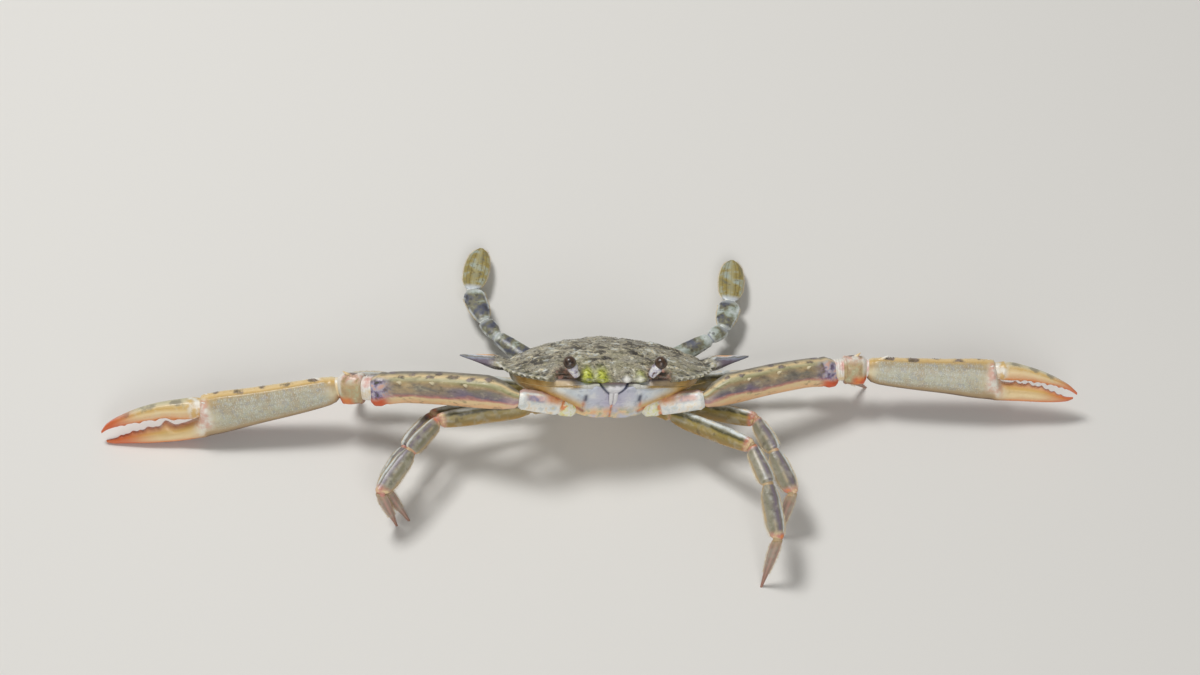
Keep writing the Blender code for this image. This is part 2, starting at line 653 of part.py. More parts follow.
def fit_length(stations, length):
    """Stations stretched along to a given length."""
    share = length / stations[-1][0]
    return tuple((place * share, top, bottom, half) for place, top, bottom, half in stations)


# --- walking legs -------------------------------------------------------------------------------------
LEG_BASE_STATIONS = ((0.0, 1.0, -1.0, 0.9), (0.8, 1.8, -1.8, 1.5), (4.0, 1.9, -1.9, 1.5),
                     (7.4, 1.8, -1.8, 1.3), (8.0, 1.3, -1.3, 1.0))
LEG_MERUS_STATIONS = ((0.0, 1.1, -1.1, 0.8), (0.8, 1.8, -1.8, 1.1), (6.0, 2.6, -2.6, 1.3),
                      (16.0, 2.7, -2.6, 1.3), (23.0, 2.3, -2.2, 1.2), (24.6, 1.8, -1.7, 1.0),
                      (25.0, 1.3, -1.3, 0.8))
LEG_CARPUS_STATIONS = ((0.0, 1.0, -1.0, 0.8), (0.7, 1.6, -1.6, 1.1), (4.5, 2.2, -2.1, 1.2),
                       (9.0, 2.5, -2.2, 1.2), (11.8, 2.1, -1.8, 1.1), (12.4, 1.4, -1.3, 0.8))
LEG_PROPODUS_STATIONS = ((0.0, 1.1, -1.1, 0.8), (0.7, 1.7, -1.7, 1.0), (5.0, 2.5, -2.4, 1.1),
                         (10.0, 2.6, -2.5, 1.1), (14.6, 1.7, -1.6, 0.9), (15.2, 1.2, -1.1, 0.7))
LEG_DACTYLUS_STATIONS = ((0.0, 1.0, -1.0, 0.7), (0.7, 1.4, -1.4, 0.9), (4.5, 1.35, -1.35, 0.85),
                         (10.0, 0.9, -0.9, 0.65), (14.0, 0.5, -0.5, 0.45), (16.3, 0.3, -0.3, 0.3))
# how far above the horizontal the broad faces of the pieces look, toward the front
FACE_RISE = {"base": 40.0, "merus": 35.0, "carpus": 50.0, "propodus": 62.0, "dactylus": 62.0}

# root in the body frame, then length and direction (azimuth, elevation) of each piece; tips go to the floor
LEGS = {
    "leg2_right": {"root": (-12.0, -1.0, -11.0), "merus": (25.6, -167.5, 4.4), "carpus": (12.2, -125.0, 2.0),
                   "propodus": (14.4, -123.0, -9.0), "dactylus": (15.8, -10.0)},
    "leg3_right": {"root": (-12.4, 3.6, -10.6), "merus": (26.4, -169.0, 0.6), "carpus": (12.4, -121.0, 2.0),
                   "propodus": (12.8, -116.0, -6.0), "dactylus": (13.6, -28.0)},
    "leg4_right": {"root": (-12.2, 8.3, -9.4), "merus": (23.5, 180.5, 5.5), "carpus": (12.0, 176.0, -2.0),
                   "propodus": (13.4, 178.0, -3.0), "dactylus": (12.6, 35.0)},
    "leg2_left": {"root": (12.0, -1.2, -11.4), "merus": (26.4, -34.0, 14.0), "carpus": (12.4, -71.0, -2.0),
                  "propodus": (15.4, -81.0, -15.0), "dactylus": (16.3, -124.0)},
    "leg3_left": {"root": (12.4, 3.6, -10.6), "merus": (24.4, -21.0, 11.0), "carpus": (12.4, -69.0, 9.0),
                  "propodus": (12.8, -68.0, -12.0), "dactylus": (15.3, -123.0)},
    "leg4_left": {"root": (12.2, 8.3, -9.4), "merus": (22.5, 3.0, 6.0), "carpus": (11.8, 2.0, 1.0),
                  "propodus": (12.4, 3.0, 2.0), "dactylus": (13.0, 14.0)},
}
LEG_BASE_LENGTH = 8.0


def build_leg(name):
    """One walking leg from its base at the breastplate to the tip on the floor."""
    plan = LEGS[name]
    root = body_point(*plan["root"])
    side = "_right" if name.endswith("_right") else "_left"
    stem = name[: -len(side)]
    pieces = []
    ways = []
    places = [root]
    merus_length, azimuth, elevation = plan["merus"]
    way = heading(azimuth, elevation)
    rows = [("base", LEG_BASE_STATIONS, LEG_BASE_LENGTH, way),
            ("merus", LEG_MERUS_STATIONS, merus_length, way)]
    for joint, stations in (("carpus", LEG_CARPUS_STATIONS), ("propodus", LEG_PROPODUS_STATIONS)):
        length, azimuth, elevation = plan[joint]
        rows.append((joint, stations, length, heading(azimuth, elevation)))
    for joint, stations, length, way in rows:
        fitted = fit_length(stations, length)
        label = stem + "_" + joint + side
        start = places[-1]
        up = across_face(way, joint)
        if joint == "base":
            carve(THORAX, skin_rings(limb_rings(start, way, up, fitted, LEG_SIDES, SECTION_POWER, GAP)),
                  "socket_" + name)
        pieces.append(link_mesh(label, skin_rings(limb_rings(start, way, up, fitted, LEG_SIDES)), "leg"))
        ways.append(way)
        places.append(start + way * length * MM)
    length, azimuth = plan["dactylus"]
    way = down_to_floor(places[-1], azimuth, length * MM)
    fitted = fit_length(LEG_DACTYLUS_STATIONS, length)
    toe = limb_rings(places[-1], way, across_face(way, "dactylus"), fitted, LEG_SIDES)
    pieces.append(link_mesh(stem + "_dactylus" + side, skin_rings(toe), "leg"))
    ways.append(way)
    for k in range(1, len(pieces)):
        mitre(pieces[k - 1], pieces[k], places[k], ways[k - 1], ways[k])
    flatten_foot(pieces[-1])


def across_face(way, joint):
    """Direction of the breadth of a leg piece whose broad faces look up and forward."""
    face = heading(-90.0, FACE_RISE[joint])
    breadth = way.cross(face)
    return breadth if breadth.z > 0.0 else -breadth


def flatten_foot(item):
    """Small flat at floor level."""
    cut_plane(item, Vector((0.0, 0.0, 0.0)), Vector((0.0, 0.0, -1.0)))


# --- swimming legs ------------------------------------------------------------------------------------
PADDLE_MERUS_STATIONS = ((0.0, 1.3, -1.3, 1.0), (0.8, 2.2, -2.2, 1.4), (8.0, 2.9, -2.8, 1.5),
                         (16.0, 2.6, -2.5, 1.3), (22.0, 2.0, -2.0, 1.1), (23.0, 1.4, -1.4, 0.9))
PADDLE_CARPUS_STATIONS = ((0.0, 1.2, -1.2, 0.8), (0.7, 1.8, -1.8, 1.1), (3.4, 2.3, -2.3, 1.1),
                          (5.2, 2.0, -2.0, 0.9), (5.8, 1.4, -1.4, 0.7))
PADDLE_PROPODUS_STATIONS = ((0.0, 1.2, -1.2, 0.7), (0.7, 1.8, -1.8, 0.9), (5.0, 3.0, -2.8, 0.8),
                            (9.0, 3.2, -2.9, 0.6), (10.8, 2.2, -2.2, 0.5), (11.4, 1.5, -1.5, 0.45))
PADDLE_BLADE_STATIONS = ((0.0, 1.2, -1.2, 0.45), (0.9, 2.2, -2.2, 0.5), (4.0, 3.4, -3.3, 0.5),
                         (8.0, 3.6, -3.5, 0.45), (12.0, 3.1, -3.0, 0.4), (14.6, 1.9, -1.9, 0.35),
                         (15.8, 0.7, -0.7, 0.3))
PADDLES = {
    "right": {"root": (-11.5, 13.5, -7.6), "merus": (21.0, 139.1, -1.5), "carpus": (7.0, 121.4, -8.0),
              "propodus": (12.2, 107.8, -4.7), "dactylus": (16.0, 82.0, -7.0)},
    "left": {"root": (11.5, 13.5, -7.6), "merus": (23.4, 27.7, 7.1), "carpus": (5.6, 45.7, -8.9),
             "propodus": (10.6, 78.8, -6.4), "dactylus": (15.8, 86.4, -7.6)},
}
BLADE_LEAN = 12.0
PADDLE_SIDES = 10
BLADE_SIDES = 12


def build_paddle(tag):
    """Swimming leg laid back behind the body, ending in a flat oval blade."""
    plan = PADDLES[tag]
    side = -1.0 if tag == "right" else 1.0
    face = heading(-90.0, 90.0 - BLADE_LEAN)
    place = body_point(*plan["root"])
    pieces = []
    ways = []
    places = [place]
    tables = (("merus", PADDLE_MERUS_STATIONS), ("carpus", PADDLE_CARPUS_STATIONS),
              ("propodus", PADDLE_PROPODUS_STATIONS), ("dactylus", PADDLE_BLADE_STATIONS))
    for joint, stations in tables:
        length, azimuth, elevation = plan[joint]
        way = heading(azimuth, elevation)
        outward = way.cross(face) * side
        fitted = fit_length(stations, length)
        start = places[-1]
        if joint == "merus":
            for body in (THORAX, SHIELD):
                socket = limb_rings(start, way, outward, fitted, LEG_SIDES, SECTION_POWER, GAP)
                carve(body, skin_rings(socket), "socket_paddle_" + tag + body.name)
        sides = BLADE_SIDES if joint == "dactylus" else PADDLE_SIDES
        pieces.append(link_mesh("paddle_" + joint + "_" + tag,
                                skin_rings(limb_rings(start, way, outward, fitted, sides)), "paddle"))
        ways.append(way)
        places.append(start + way * length * MM)
    for k in range(1, len(pieces)):
        mitre(pieces[k - 1], pieces[k], places[k], ways[k - 1], ways[k])


def centre_on_origin():
    """Slide the whole crab so its box stands centred on the origin."""
    corners = [v.co for item in PARTS.objects for v in item.data.vertices]
    mid_x = 0.5 * (min(c.x for c in corners) + max(c.x for c in corners))
    mid_y = 0.5 * (min(c.y for c in corners) + max(c.y for c in corners))
    low = min(c.z for c in corners)
    shift = Matrix.Translation((-mid_x, -mid_y, -low))
    for item in PARTS.objects:
        item.data.transform(shift)


for stale in list(bpy.data.objects):
    bpy.data.objects.remove(stale, do_unlink=True)
PARTS = bpy.data.collections.new("swimming_crab")
CUTTERS = bpy.data.collections.new("cutters")
bpy.context.scene.collection.children.link(PARTS)
bpy.context.scene.collection.children.link(CUTTERS)

SHIELD = build_shield()
THORAX = build_thorax()
link_mesh("apron", skin_rings(apron_rings(0.0)), "belly")
carve(THORAX, skin_rings(apron_rings(GAP / MM)), "apron_groove")
for eye_side, eye_tag in ((-1.0, "right"), (1.0, "left")):
    build_eye(eye_side, eye_tag)
    build_maxilliped(eye_side, eye_tag)
    build_antenna(eye_side, eye_tag)
for claw_tag in ("right", "left"):
    build_claw(claw_tag)
for leg_name in LEGS:
    build_leg(leg_name)
for paddle_tag in ("right", "left"):
    build_paddle(paddle_tag)
centre_on_origin()
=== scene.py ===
"""Skin, markings and studio for a young blue swimming crab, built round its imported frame."""

import logging
import math
from dataclasses import dataclass, field
from enum import Enum
from typing import Optional, Sequence, Union

import bpy
import numpy as np
from mathutils import Matrix, Vector

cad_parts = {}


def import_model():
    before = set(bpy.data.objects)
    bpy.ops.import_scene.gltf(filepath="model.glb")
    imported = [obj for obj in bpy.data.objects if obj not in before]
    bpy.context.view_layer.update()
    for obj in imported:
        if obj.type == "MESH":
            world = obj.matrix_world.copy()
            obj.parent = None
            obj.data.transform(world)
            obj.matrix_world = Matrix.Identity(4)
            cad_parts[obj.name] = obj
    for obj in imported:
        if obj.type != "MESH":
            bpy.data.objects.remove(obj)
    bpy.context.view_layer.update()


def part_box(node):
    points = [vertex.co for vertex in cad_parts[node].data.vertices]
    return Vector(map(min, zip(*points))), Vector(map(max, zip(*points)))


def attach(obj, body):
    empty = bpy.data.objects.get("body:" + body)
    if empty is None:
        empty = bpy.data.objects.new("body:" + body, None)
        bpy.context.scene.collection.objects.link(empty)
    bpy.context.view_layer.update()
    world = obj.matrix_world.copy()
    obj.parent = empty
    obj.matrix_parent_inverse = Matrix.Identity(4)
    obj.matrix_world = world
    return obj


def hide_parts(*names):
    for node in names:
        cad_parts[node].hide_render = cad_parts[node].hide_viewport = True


LOG = logging.getLogger("swimming_crab")
MM = 0.001
TOWARD_EYE = np.array((0.0, -0.574, 0.819))

Array = np.ndarray
Socket = bpy.types.NodeSocket
Feed = Union[Socket, float, tuple, "Tint"]
Table = tuple[tuple[float, ...], ...]


class Side(Enum):
    """The crab's own right and left; the value is the sign of x in the body's axes."""

    RIGHT = -1.0
    LEFT = 1.0

    @property
    def tag(self) -> str:
        """Ending of the names of this side's pieces."""
        return self.name.lower()


class Slot(Enum):
    """Material slots of the record."""

    SHELL = "shell"
    BELLY = "belly"
    STALK = "eyestalk"
    CORNEA = "cornea"
    FEELER = "feeler"
    PALM = "palm"
    FINGER = "finger"
    ARM = "arm"
    LEG = "leg"
    LEG_TIP = "leg_tip"
    PADDLE_ARM = "paddle_arm"
    BLADE = "paddle_blade"


class Tint(Enum):
    """Colours of the crab, as red, green and blue from 0 to 255."""

    BLACK_BROWN = (40, 32, 28)
    DARK_OLIVE = (74, 72, 50)
    GREY_OLIVE = (126, 122, 96)
    MOSS = (150, 146, 104)
    PALE_OLIVE = (186, 180, 140)
    CREAM = (226, 214, 178)
    WARM_CREAM = (232, 206, 156)
    WHITE = (240, 238, 230)
    LEAF = (176, 182, 44)
    LIME = (206, 212, 96)
    LAVENDER = (190, 186, 204)
    PALE_BLUE = (206, 214, 222)
    BLUE_GREY = (146, 152, 166)
    PURPLE_GREY = (118, 106, 118)
    VIOLET = (122, 106, 152)
    NAVY = (44, 50, 76)
    OCHRE = (176, 132, 62)
    AMBER = (200, 158, 84)
    HONEY = (214, 176, 104)
    TAN = (190, 164, 122)
    DEEP_TAN = (158, 132, 96)
    PEACH = (234, 184, 136)
    ORANGE = (224, 132, 66)
    RED_ORANGE = (212, 88, 40)
    RUST = (150, 70, 40)
    PINK = (226, 178, 166)
    ROSE = (196, 132, 120)
    BROWN = (98, 72, 50)
    GOLD = (158, 140, 74)
    DARK_GOLD = (104, 88, 48)
    SOOT = (58, 54, 50)
    STONE = (128, 122, 108)
    SAND = (152, 145, 128)
    PALE_STONE = (172, 168, 150)
    MIST = (212, 218, 216)
    SAGE = (166, 176, 164)
    SLATE = (84, 88, 104)
    MARINE = (52, 62, 58)
    OLD_GOLD = (166, 130, 62)
    BRONZE = (142, 122, 68)
    DARK_LEAF = (112, 120, 36)
    PALE_LIME = (232, 230, 164)
    FLOOR = (226, 224, 219)

    def rgba(self) -> tuple[float, float, float, float]:
        """The colour in linear light with full alpha."""
        parts = []
        for part in self.value:
            share = part / 255.0
            parts.append(share / 12.92 if share <= 0.04045 else ((share + 0.055) / 1.055) ** 2.4)
        return parts[0], parts[1], parts[2], 1.0


# ---------------------------------------------------------------- numbers and curves
def unit(vector: Array) -> Array:
    """The vector at length one."""
    return vector / np.linalg.norm(vector)


def heading(azimuth: float, elevation: float) -> Array:
    """Unit direction from degrees round the floor and degrees above it."""
    a, e = math.radians(azimuth), math.radians(elevation)
    return np.array((math.cos(a) * math.cos(e), math.sin(a) * math.cos(e), math.sin(e)))


def smoothstep(low: float, high: float, value: Array) -> Array:
    """Smooth rise from 0 at low to 1 at high."""
    t = np.clip((value - low) / (high - low), 0.0, 1.0)
    return t * t * (3.0 - 2.0 * t)


def bell(distance: Array) -> Array:
    """Bell curve that is 1 at distance 0 and falls off over distance 1."""
    return np.exp(-(distance**2))


def monotone(knots: Array, values: Array, at: Array) -> Array:
    """Smooth curve through knots that never swings past them.

    Args:
        knots: rising places of the knots.
        values: one row of values for each knot.
        at: places to read the curve at.

    Returns:
        One row of values for each place.
    """
    gap = np.diff(knots)[:, None]
    slope = np.diff(values, axis=0) / gap
    tangent = np.zeros_like(values)
    before, after = slope[:-1], slope[1:]
    total = before + after
    same = before * after > 0.0
    tangent[1:-1] = np.where(same, 2.0 * before * after / np.where(same, total, 1.0), 0.0)
    tangent[0], tangent[-1] = slope[0], slope[-1]
    i = np.clip(np.searchsorted(knots, at, "right") - 1, 0, len(knots) - 2)
    h = gap[i]
    t = ((at - knots[i]) / h[:, 0])[:, None]
    return (
        values[i] * (1 + 2 * t) * (1 - t) ** 2
        + tangent[i] * h * t * (1 - t) ** 2
        + values[i + 1] * t * t * (3 - 2 * t)
        + tangent[i + 1] * h * t * t * (t - 1)
    )


def closed_curve(knots: Array, count: int) -> Array:
    """Closed smooth curve through the knots, resampled evenly by knot number."""
    u = np.arange(count) * len(knots) / count
    i = u.astype(int)
    t = (u - i)[:, None]
    p = [knots[(i + k) % len(knots)] for k in (-1, 0, 1, 2)]
    return 0.5 * (
        2 * p[1]
        + (p[2] - p[0]) * t
        + (2 * p[0] - 5 * p[1] + 4 * p[2] - p[3]) * t**2
        + (3 * p[1] - p[0] - 3 * p[2] + p[3]) * t**3
    )


def by_length(loop: Array, count: int) -> Array:
    """Closed polyline resampled at even steps of its length."""
    shut = np.vstack([loop, loop[:1]])
    reach = np.concatenate([[0.0], np.cumsum(np.linalg.norm(np.diff(shut, axis=0), axis=1))])
    at = np.linspace(0.0, reach[-1], count, endpoint=False)
    return np.stack([np.interp(at, reach, shut[:, k]) for k in range(shut.shape[1])], axis=1)


def softened(ring: Array, width: float) -> Array:
    """Values round a closed ring blurred by a bell of this many samples."""
    count = len(ring)
    away = np.minimum(np.arange(count), count - np.arange(count))
    weight = np.exp(-0.5 * (away / width) ** 2)
    weight /= weight.sum()
    return np.real(np.fft.ifft(np.fft.fft(ring, axis=0) * np.fft.fft(weight)[:, None], axis=0))


def off_path(points: Array, path: Sequence[Sequence[float]]) -> Array:
    """Distance of plane points from an open polyline.

    Args:
        points: rows of two coordinates.
        path: corners of the polyline.

    Returns:
        The least distance of each point.
    """
    best = np.full(len(points), np.inf)
    corners = np.asarray(path, float)
    for a, b in zip(corners, corners[1:]):
        way = b - a
        t = np.clip((points - a) @ way / (way @ way), 0.0, 1.0)[:, None]
        best = np.minimum(best, np.linalg.norm(points - (a + way * t), axis=1))
    return best


def ripple(points: Array, seed: int, scale: float) -> Array:
    """Soft irregular waves over space, from about -1 to 1.

    Args:
        points: places in millimetres.
        seed: picks one pattern of waves.
        scale: length of the longest wave in millimetres.

    Returns:
        One value for each point.
    """
    draw = np.random.default_rng(seed)
    total = np.zeros(len(points))
    for k in range(9):
        way = unit(draw.normal(size=3)) * 2.0 * math.pi / (scale * draw.uniform(0.45, 1.0))
        total += np.sin(points @ way + draw.uniform(0.0, 2.0 * math.pi))
    return total / 4.5


# ---------------------------------------------------------------- meshes
@dataclass
class Skin:
    """Points, faces and surface values of a piece before it becomes an object."""

    points: Array
    faces: list[tuple[int, ...]]
    values: dict[str, Array] = field(default_factory=dict)

    def outward(self) -> "Skin":
        """The same skin with its faces turned outwards."""
        volume = 0.0
        centre = self.points.mean(axis=0)
        for size in {len(f) for f in self.faces}:
            picks = np.array([f for f in self.faces if len(f) == size])
            corners = self.points[picks] - centre
            for k in range(1, size - 1):
                normal = np.cross(corners[:, k], corners[:, k + 1])
                volume += np.einsum("ij,ij->i", corners[:, 0], normal).sum()
        if volume < 0.0:
            self.faces = [tuple(reversed(f)) for f in self.faces]
        return self

    def joined(self, *others: "Skin") -> "Skin":
        """This skin and others as one; missing values are taken as zero."""
        points, faces, values = [self.points], list(self.faces), {k: [v] for k, v in self.values.items()}
        total = len(self.points)
        for other in others:
            faces.extend(tuple(i + total for i in f) for f in other.faces)
            points.append(other.points)
            for name, rows in values.items():
                blank = np.zeros((len(other.points),) + rows[0].shape[1:])
                rows.append(other.values.get(name, blank))
            total += len(other.points)
        return Skin(np.vstack(points), faces, {k: np.concatenate(v) for k, v in values.items()})

    def as_object(self, name: str, material: bpy.types.Material) -> bpy.types.Object:
        """Make the object, smooth shaded, with its values as point attributes."""
        mesh = bpy.data.meshes.new(name)
        mesh.from_pydata(self.points.tolist(), [], self.faces)
        mesh.shade_smooth()
        for key, rows in self.values.items():
            kind, slot = ("FLOAT_VECTOR", "vector") if rows.ndim == 2 else ("FLOAT", "value")
            layer = mesh.attributes.new(key, kind, "POINT")
            layer.data.foreach_set(slot, rows.astype(np.float32).ravel())
        mesh.materials.append(material)
        piece = bpy.data.objects.new(name, mesh)
        bpy.context.scene.collection.objects.link(piece)
        return piece


def lofted(rings: Array, values: Optional[dict[str, Array]] = None,
           dish: tuple[float, float] = (0.0, 0.0)) -> Skin:
    """Closed skin through rings of equal count, with rounded ends.

    Args:
        rings: rows of ring points, in metres.
        values: surface values with the rings' first two dimensions.
        dish: how far the middle of the first and of the last end stands out, in metres.

    Returns:
        The closed skin.
    """
    values = values or {}
    count = rings.shape[1]
    along = unit(rings[-1].mean(axis=0) - rings[0].mean(axis=0))
    first, last = [], []
    for share in (0.78, 0.5, 0.22):
        for ring, out, push in ((rings[0], first, -dish[0]), (rings[-1], last, dish[1])):
            middle = ring.mean(axis=0)
            out.append(middle + (ring - middle) * share + along * push * (1.0 - share**2))
    whole = np.concatenate([np.array(first[::-1]), rings, np.array(last)])
    rows = len(whole)
    points = whole.reshape(-1, 3)
    poles = np.array([whole[0].mean(axis=0), whole[-1].mean(axis=0)])
    i = np.arange(count)
    j = (i + 1) % count
    faces = []
    for r in range(rows - 1):
        low, high = r * count, (r + 1) * count
        faces.extend(zip((low + i).tolist(), (low + j).tolist(), (high + j).tolist(), (high + i).tolist()))
    start, end, top = rows * count, rows * count + 1, (rows - 1) * count
    faces.extend(zip(j.tolist(), i.tolist(), [start] * count))
    faces.extend(zip((top + i).tolist(), (top + j).tolist(), [end] * count))
    spread = {}
    for name, grid in values.items():
        full = np.concatenate([np.repeat(grid[:1], 3, axis=0), grid, np.repeat(grid[-1:], 3, axis=0)])
        flat = full.reshape((-1,) + grid.shape[2:])
        spread[name] = np.concatenate([flat, full[0].mean(axis=0)[None], full[-1].mean(axis=0)[None]])
    return Skin(np.vstack([points, poles]), faces, spread).outward()


def rod(path: Array, radii: Array, sides: int = 12, flat: float = 1.0, face: Array = TOWARD_EYE) -> Array:
    """Rings of a rod along a path.

    Args:
        path: places of the rings, in metres.
        radii: radius of each ring, in metres.
        sides: points of a ring.
        flat: thickness of the rod toward its face, as a share of its breadth.
        face: direction that the flattened side looks in.

    Returns:
        The rings.
    """
    way = np.gradient(path, axis=0)
    way /= np.linalg.norm(way, axis=1)[:, None]
    broad = np.cross(way, face)
    broad /= np.linalg.norm(broad, axis=1)[:, None]
    thick = np.cross(broad, way)
    angle = 2.0 * np.pi * np.arange(sides) / sides
    c, s = np.cos(angle)[None, :, None], (flat * np.sin(angle))[None, :, None]
    out = broad[:, None, :] * c + thick[:, None, :] * s
    return path[:, None, :] + out * radii[:, None, None]


def along_path(knots: Array, count: int) -> tuple[Array, Array]:
    """Smooth open path through knots; gives the places and their knot numbers."""
    at = np.linspace(0.0, len(knots) - 1.0, count)
    return monotone(np.arange(len(knots), dtype=float), knots, at), at


def thorn(root: Array, way: Array, length: float, radius: float, limb: Sequence[float]) -> Skin:
    """Pointed spine with its foot sunk in the shell.

    Args:
        root: middle of the foot, in metres.
        way: direction of the tip.
        length: height of the spine in metres.
        radius: radius of the foot in metres.
        limb: place along the limb and turn about it, for the markings.

    Returns:
        The closed skin.
    """
    t = np.linspace(0.0, 1.0, 9)
    path = root + unit(way) * (t * length)[:, None]
    rings = rod(path, radius * (1.0 - t**1.25 * 0.9), 12, 1.0, np.array((0.31, 0.17, 0.93)))
    place = np.broadcast_to(np.array((limb[0], limb[1], 1.0)), rings.shape).copy()
    place[..., 2] = t[:, None]
    return lofted(rings, {"limb": place, "mark": np.zeros(rings.shape[:2])}, (0.0, radius * 0.08))


# ---------------------------------------------------------------- placement
@dataclass
class Stance:
    """Where the body's own axes stand: x across, y backward, z out of the back, in millimetres."""

    height: float = 20.4
    pitch: float = -39.0
    yaw: float = 10.0
    roll: float = 3.2
    eye: tuple[float, float, float] = (12.4, -14.2, 4.5)
    turn: Array = field(init=False)
    origin: Array = field(init=False)

    def __post_init__(self) -> None:
        """Turn the axes, then slide them so that the left eye falls on its solid."""
        turn = Matrix.Rotation(math.radians(self.pitch), 3, "X")
        turn = turn @ Matrix.Rotation(math.radians(self.yaw), 3, "Z")
        self.turn = np.array(turn @ Matrix.Rotation(math.radians(self.roll), 3, "Y"))
        low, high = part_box("eye_left")
        middle = (np.array(low) + np.array(high)) / 2.0
        self.origin = middle - self.turn @ (np.array(self.eye) * MM)

    def place(self, points: Union[Array, Sequence]) -> Array:
        """World places, in metres, of points in the body's axes."""
        return self.origin + (np.asarray(points, float) * MM) @ self.turn.T

    def aim(self, way: Sequence[float]) -> Array:
        """World direction of a direction in the body's axes."""
        return unit(self.turn @ np.asarray(way, float))


def fitted(stations: Table, length: float) -> Array:
    """Stations stretched to a length, as an array of place, top, bottom, half thickness."""
    rows = np.array(stations, float)
    rows[:, 0] *= length / rows[-1, 0]
    return rows


def around(turn: Array, middle: float, girth: Array) -> Array:
    """Distance round a limb from a turn in degrees, in millimetres."""
    return (np.mod(turn - middle + 180.0, 360.0) - 180.0) * np.pi / 180.0 * girth


@dataclass(frozen=True)
class Knob:
    """Rounded swelling on a limb: place along, turn in degrees, radius and height in millimetres."""

    place: float
    turn: float
    radius: float
    height: float

    def lift(self, along: Array, turn: Array, girth: Array) -> Array:
        """Height of the swelling over the limb's grid."""
        return self.height * bell(np.hypot(along - self.place, around(turn, self.turn, girth)) / self.radius)


@dataclass(frozen=True)
class Ridge:
    """Long keel on a limb: turn in degrees, half width and height in millimetres, first and last place."""

    turn: float
    width: float
    height: float
    first: float
    last: float

    def lift(self, along: Array, turn: Array, girth: Array) -> Array:
        """Height of the keel over the limb's grid."""
        ends = smoothstep(self.first, self.first + 1.5, along)
        ends = ends * (1.0 - smoothstep(self.last - 1.5, self.last, along))
        return self.height * bell(around(turn, self.turn, girth) / self.width) * ends


@dataclass(frozen=True)
class Rim:
    """Raised or sunk ring round a limb: place along, half width and height in millimetres."""

    place: float
    width: float
    height: float

    def lift(self, along: Array, turn: Array, girth: Array) -> Array:
        """Height of the ring over the limb's grid."""
        return self.height * bell((along - self.place) / self.width)


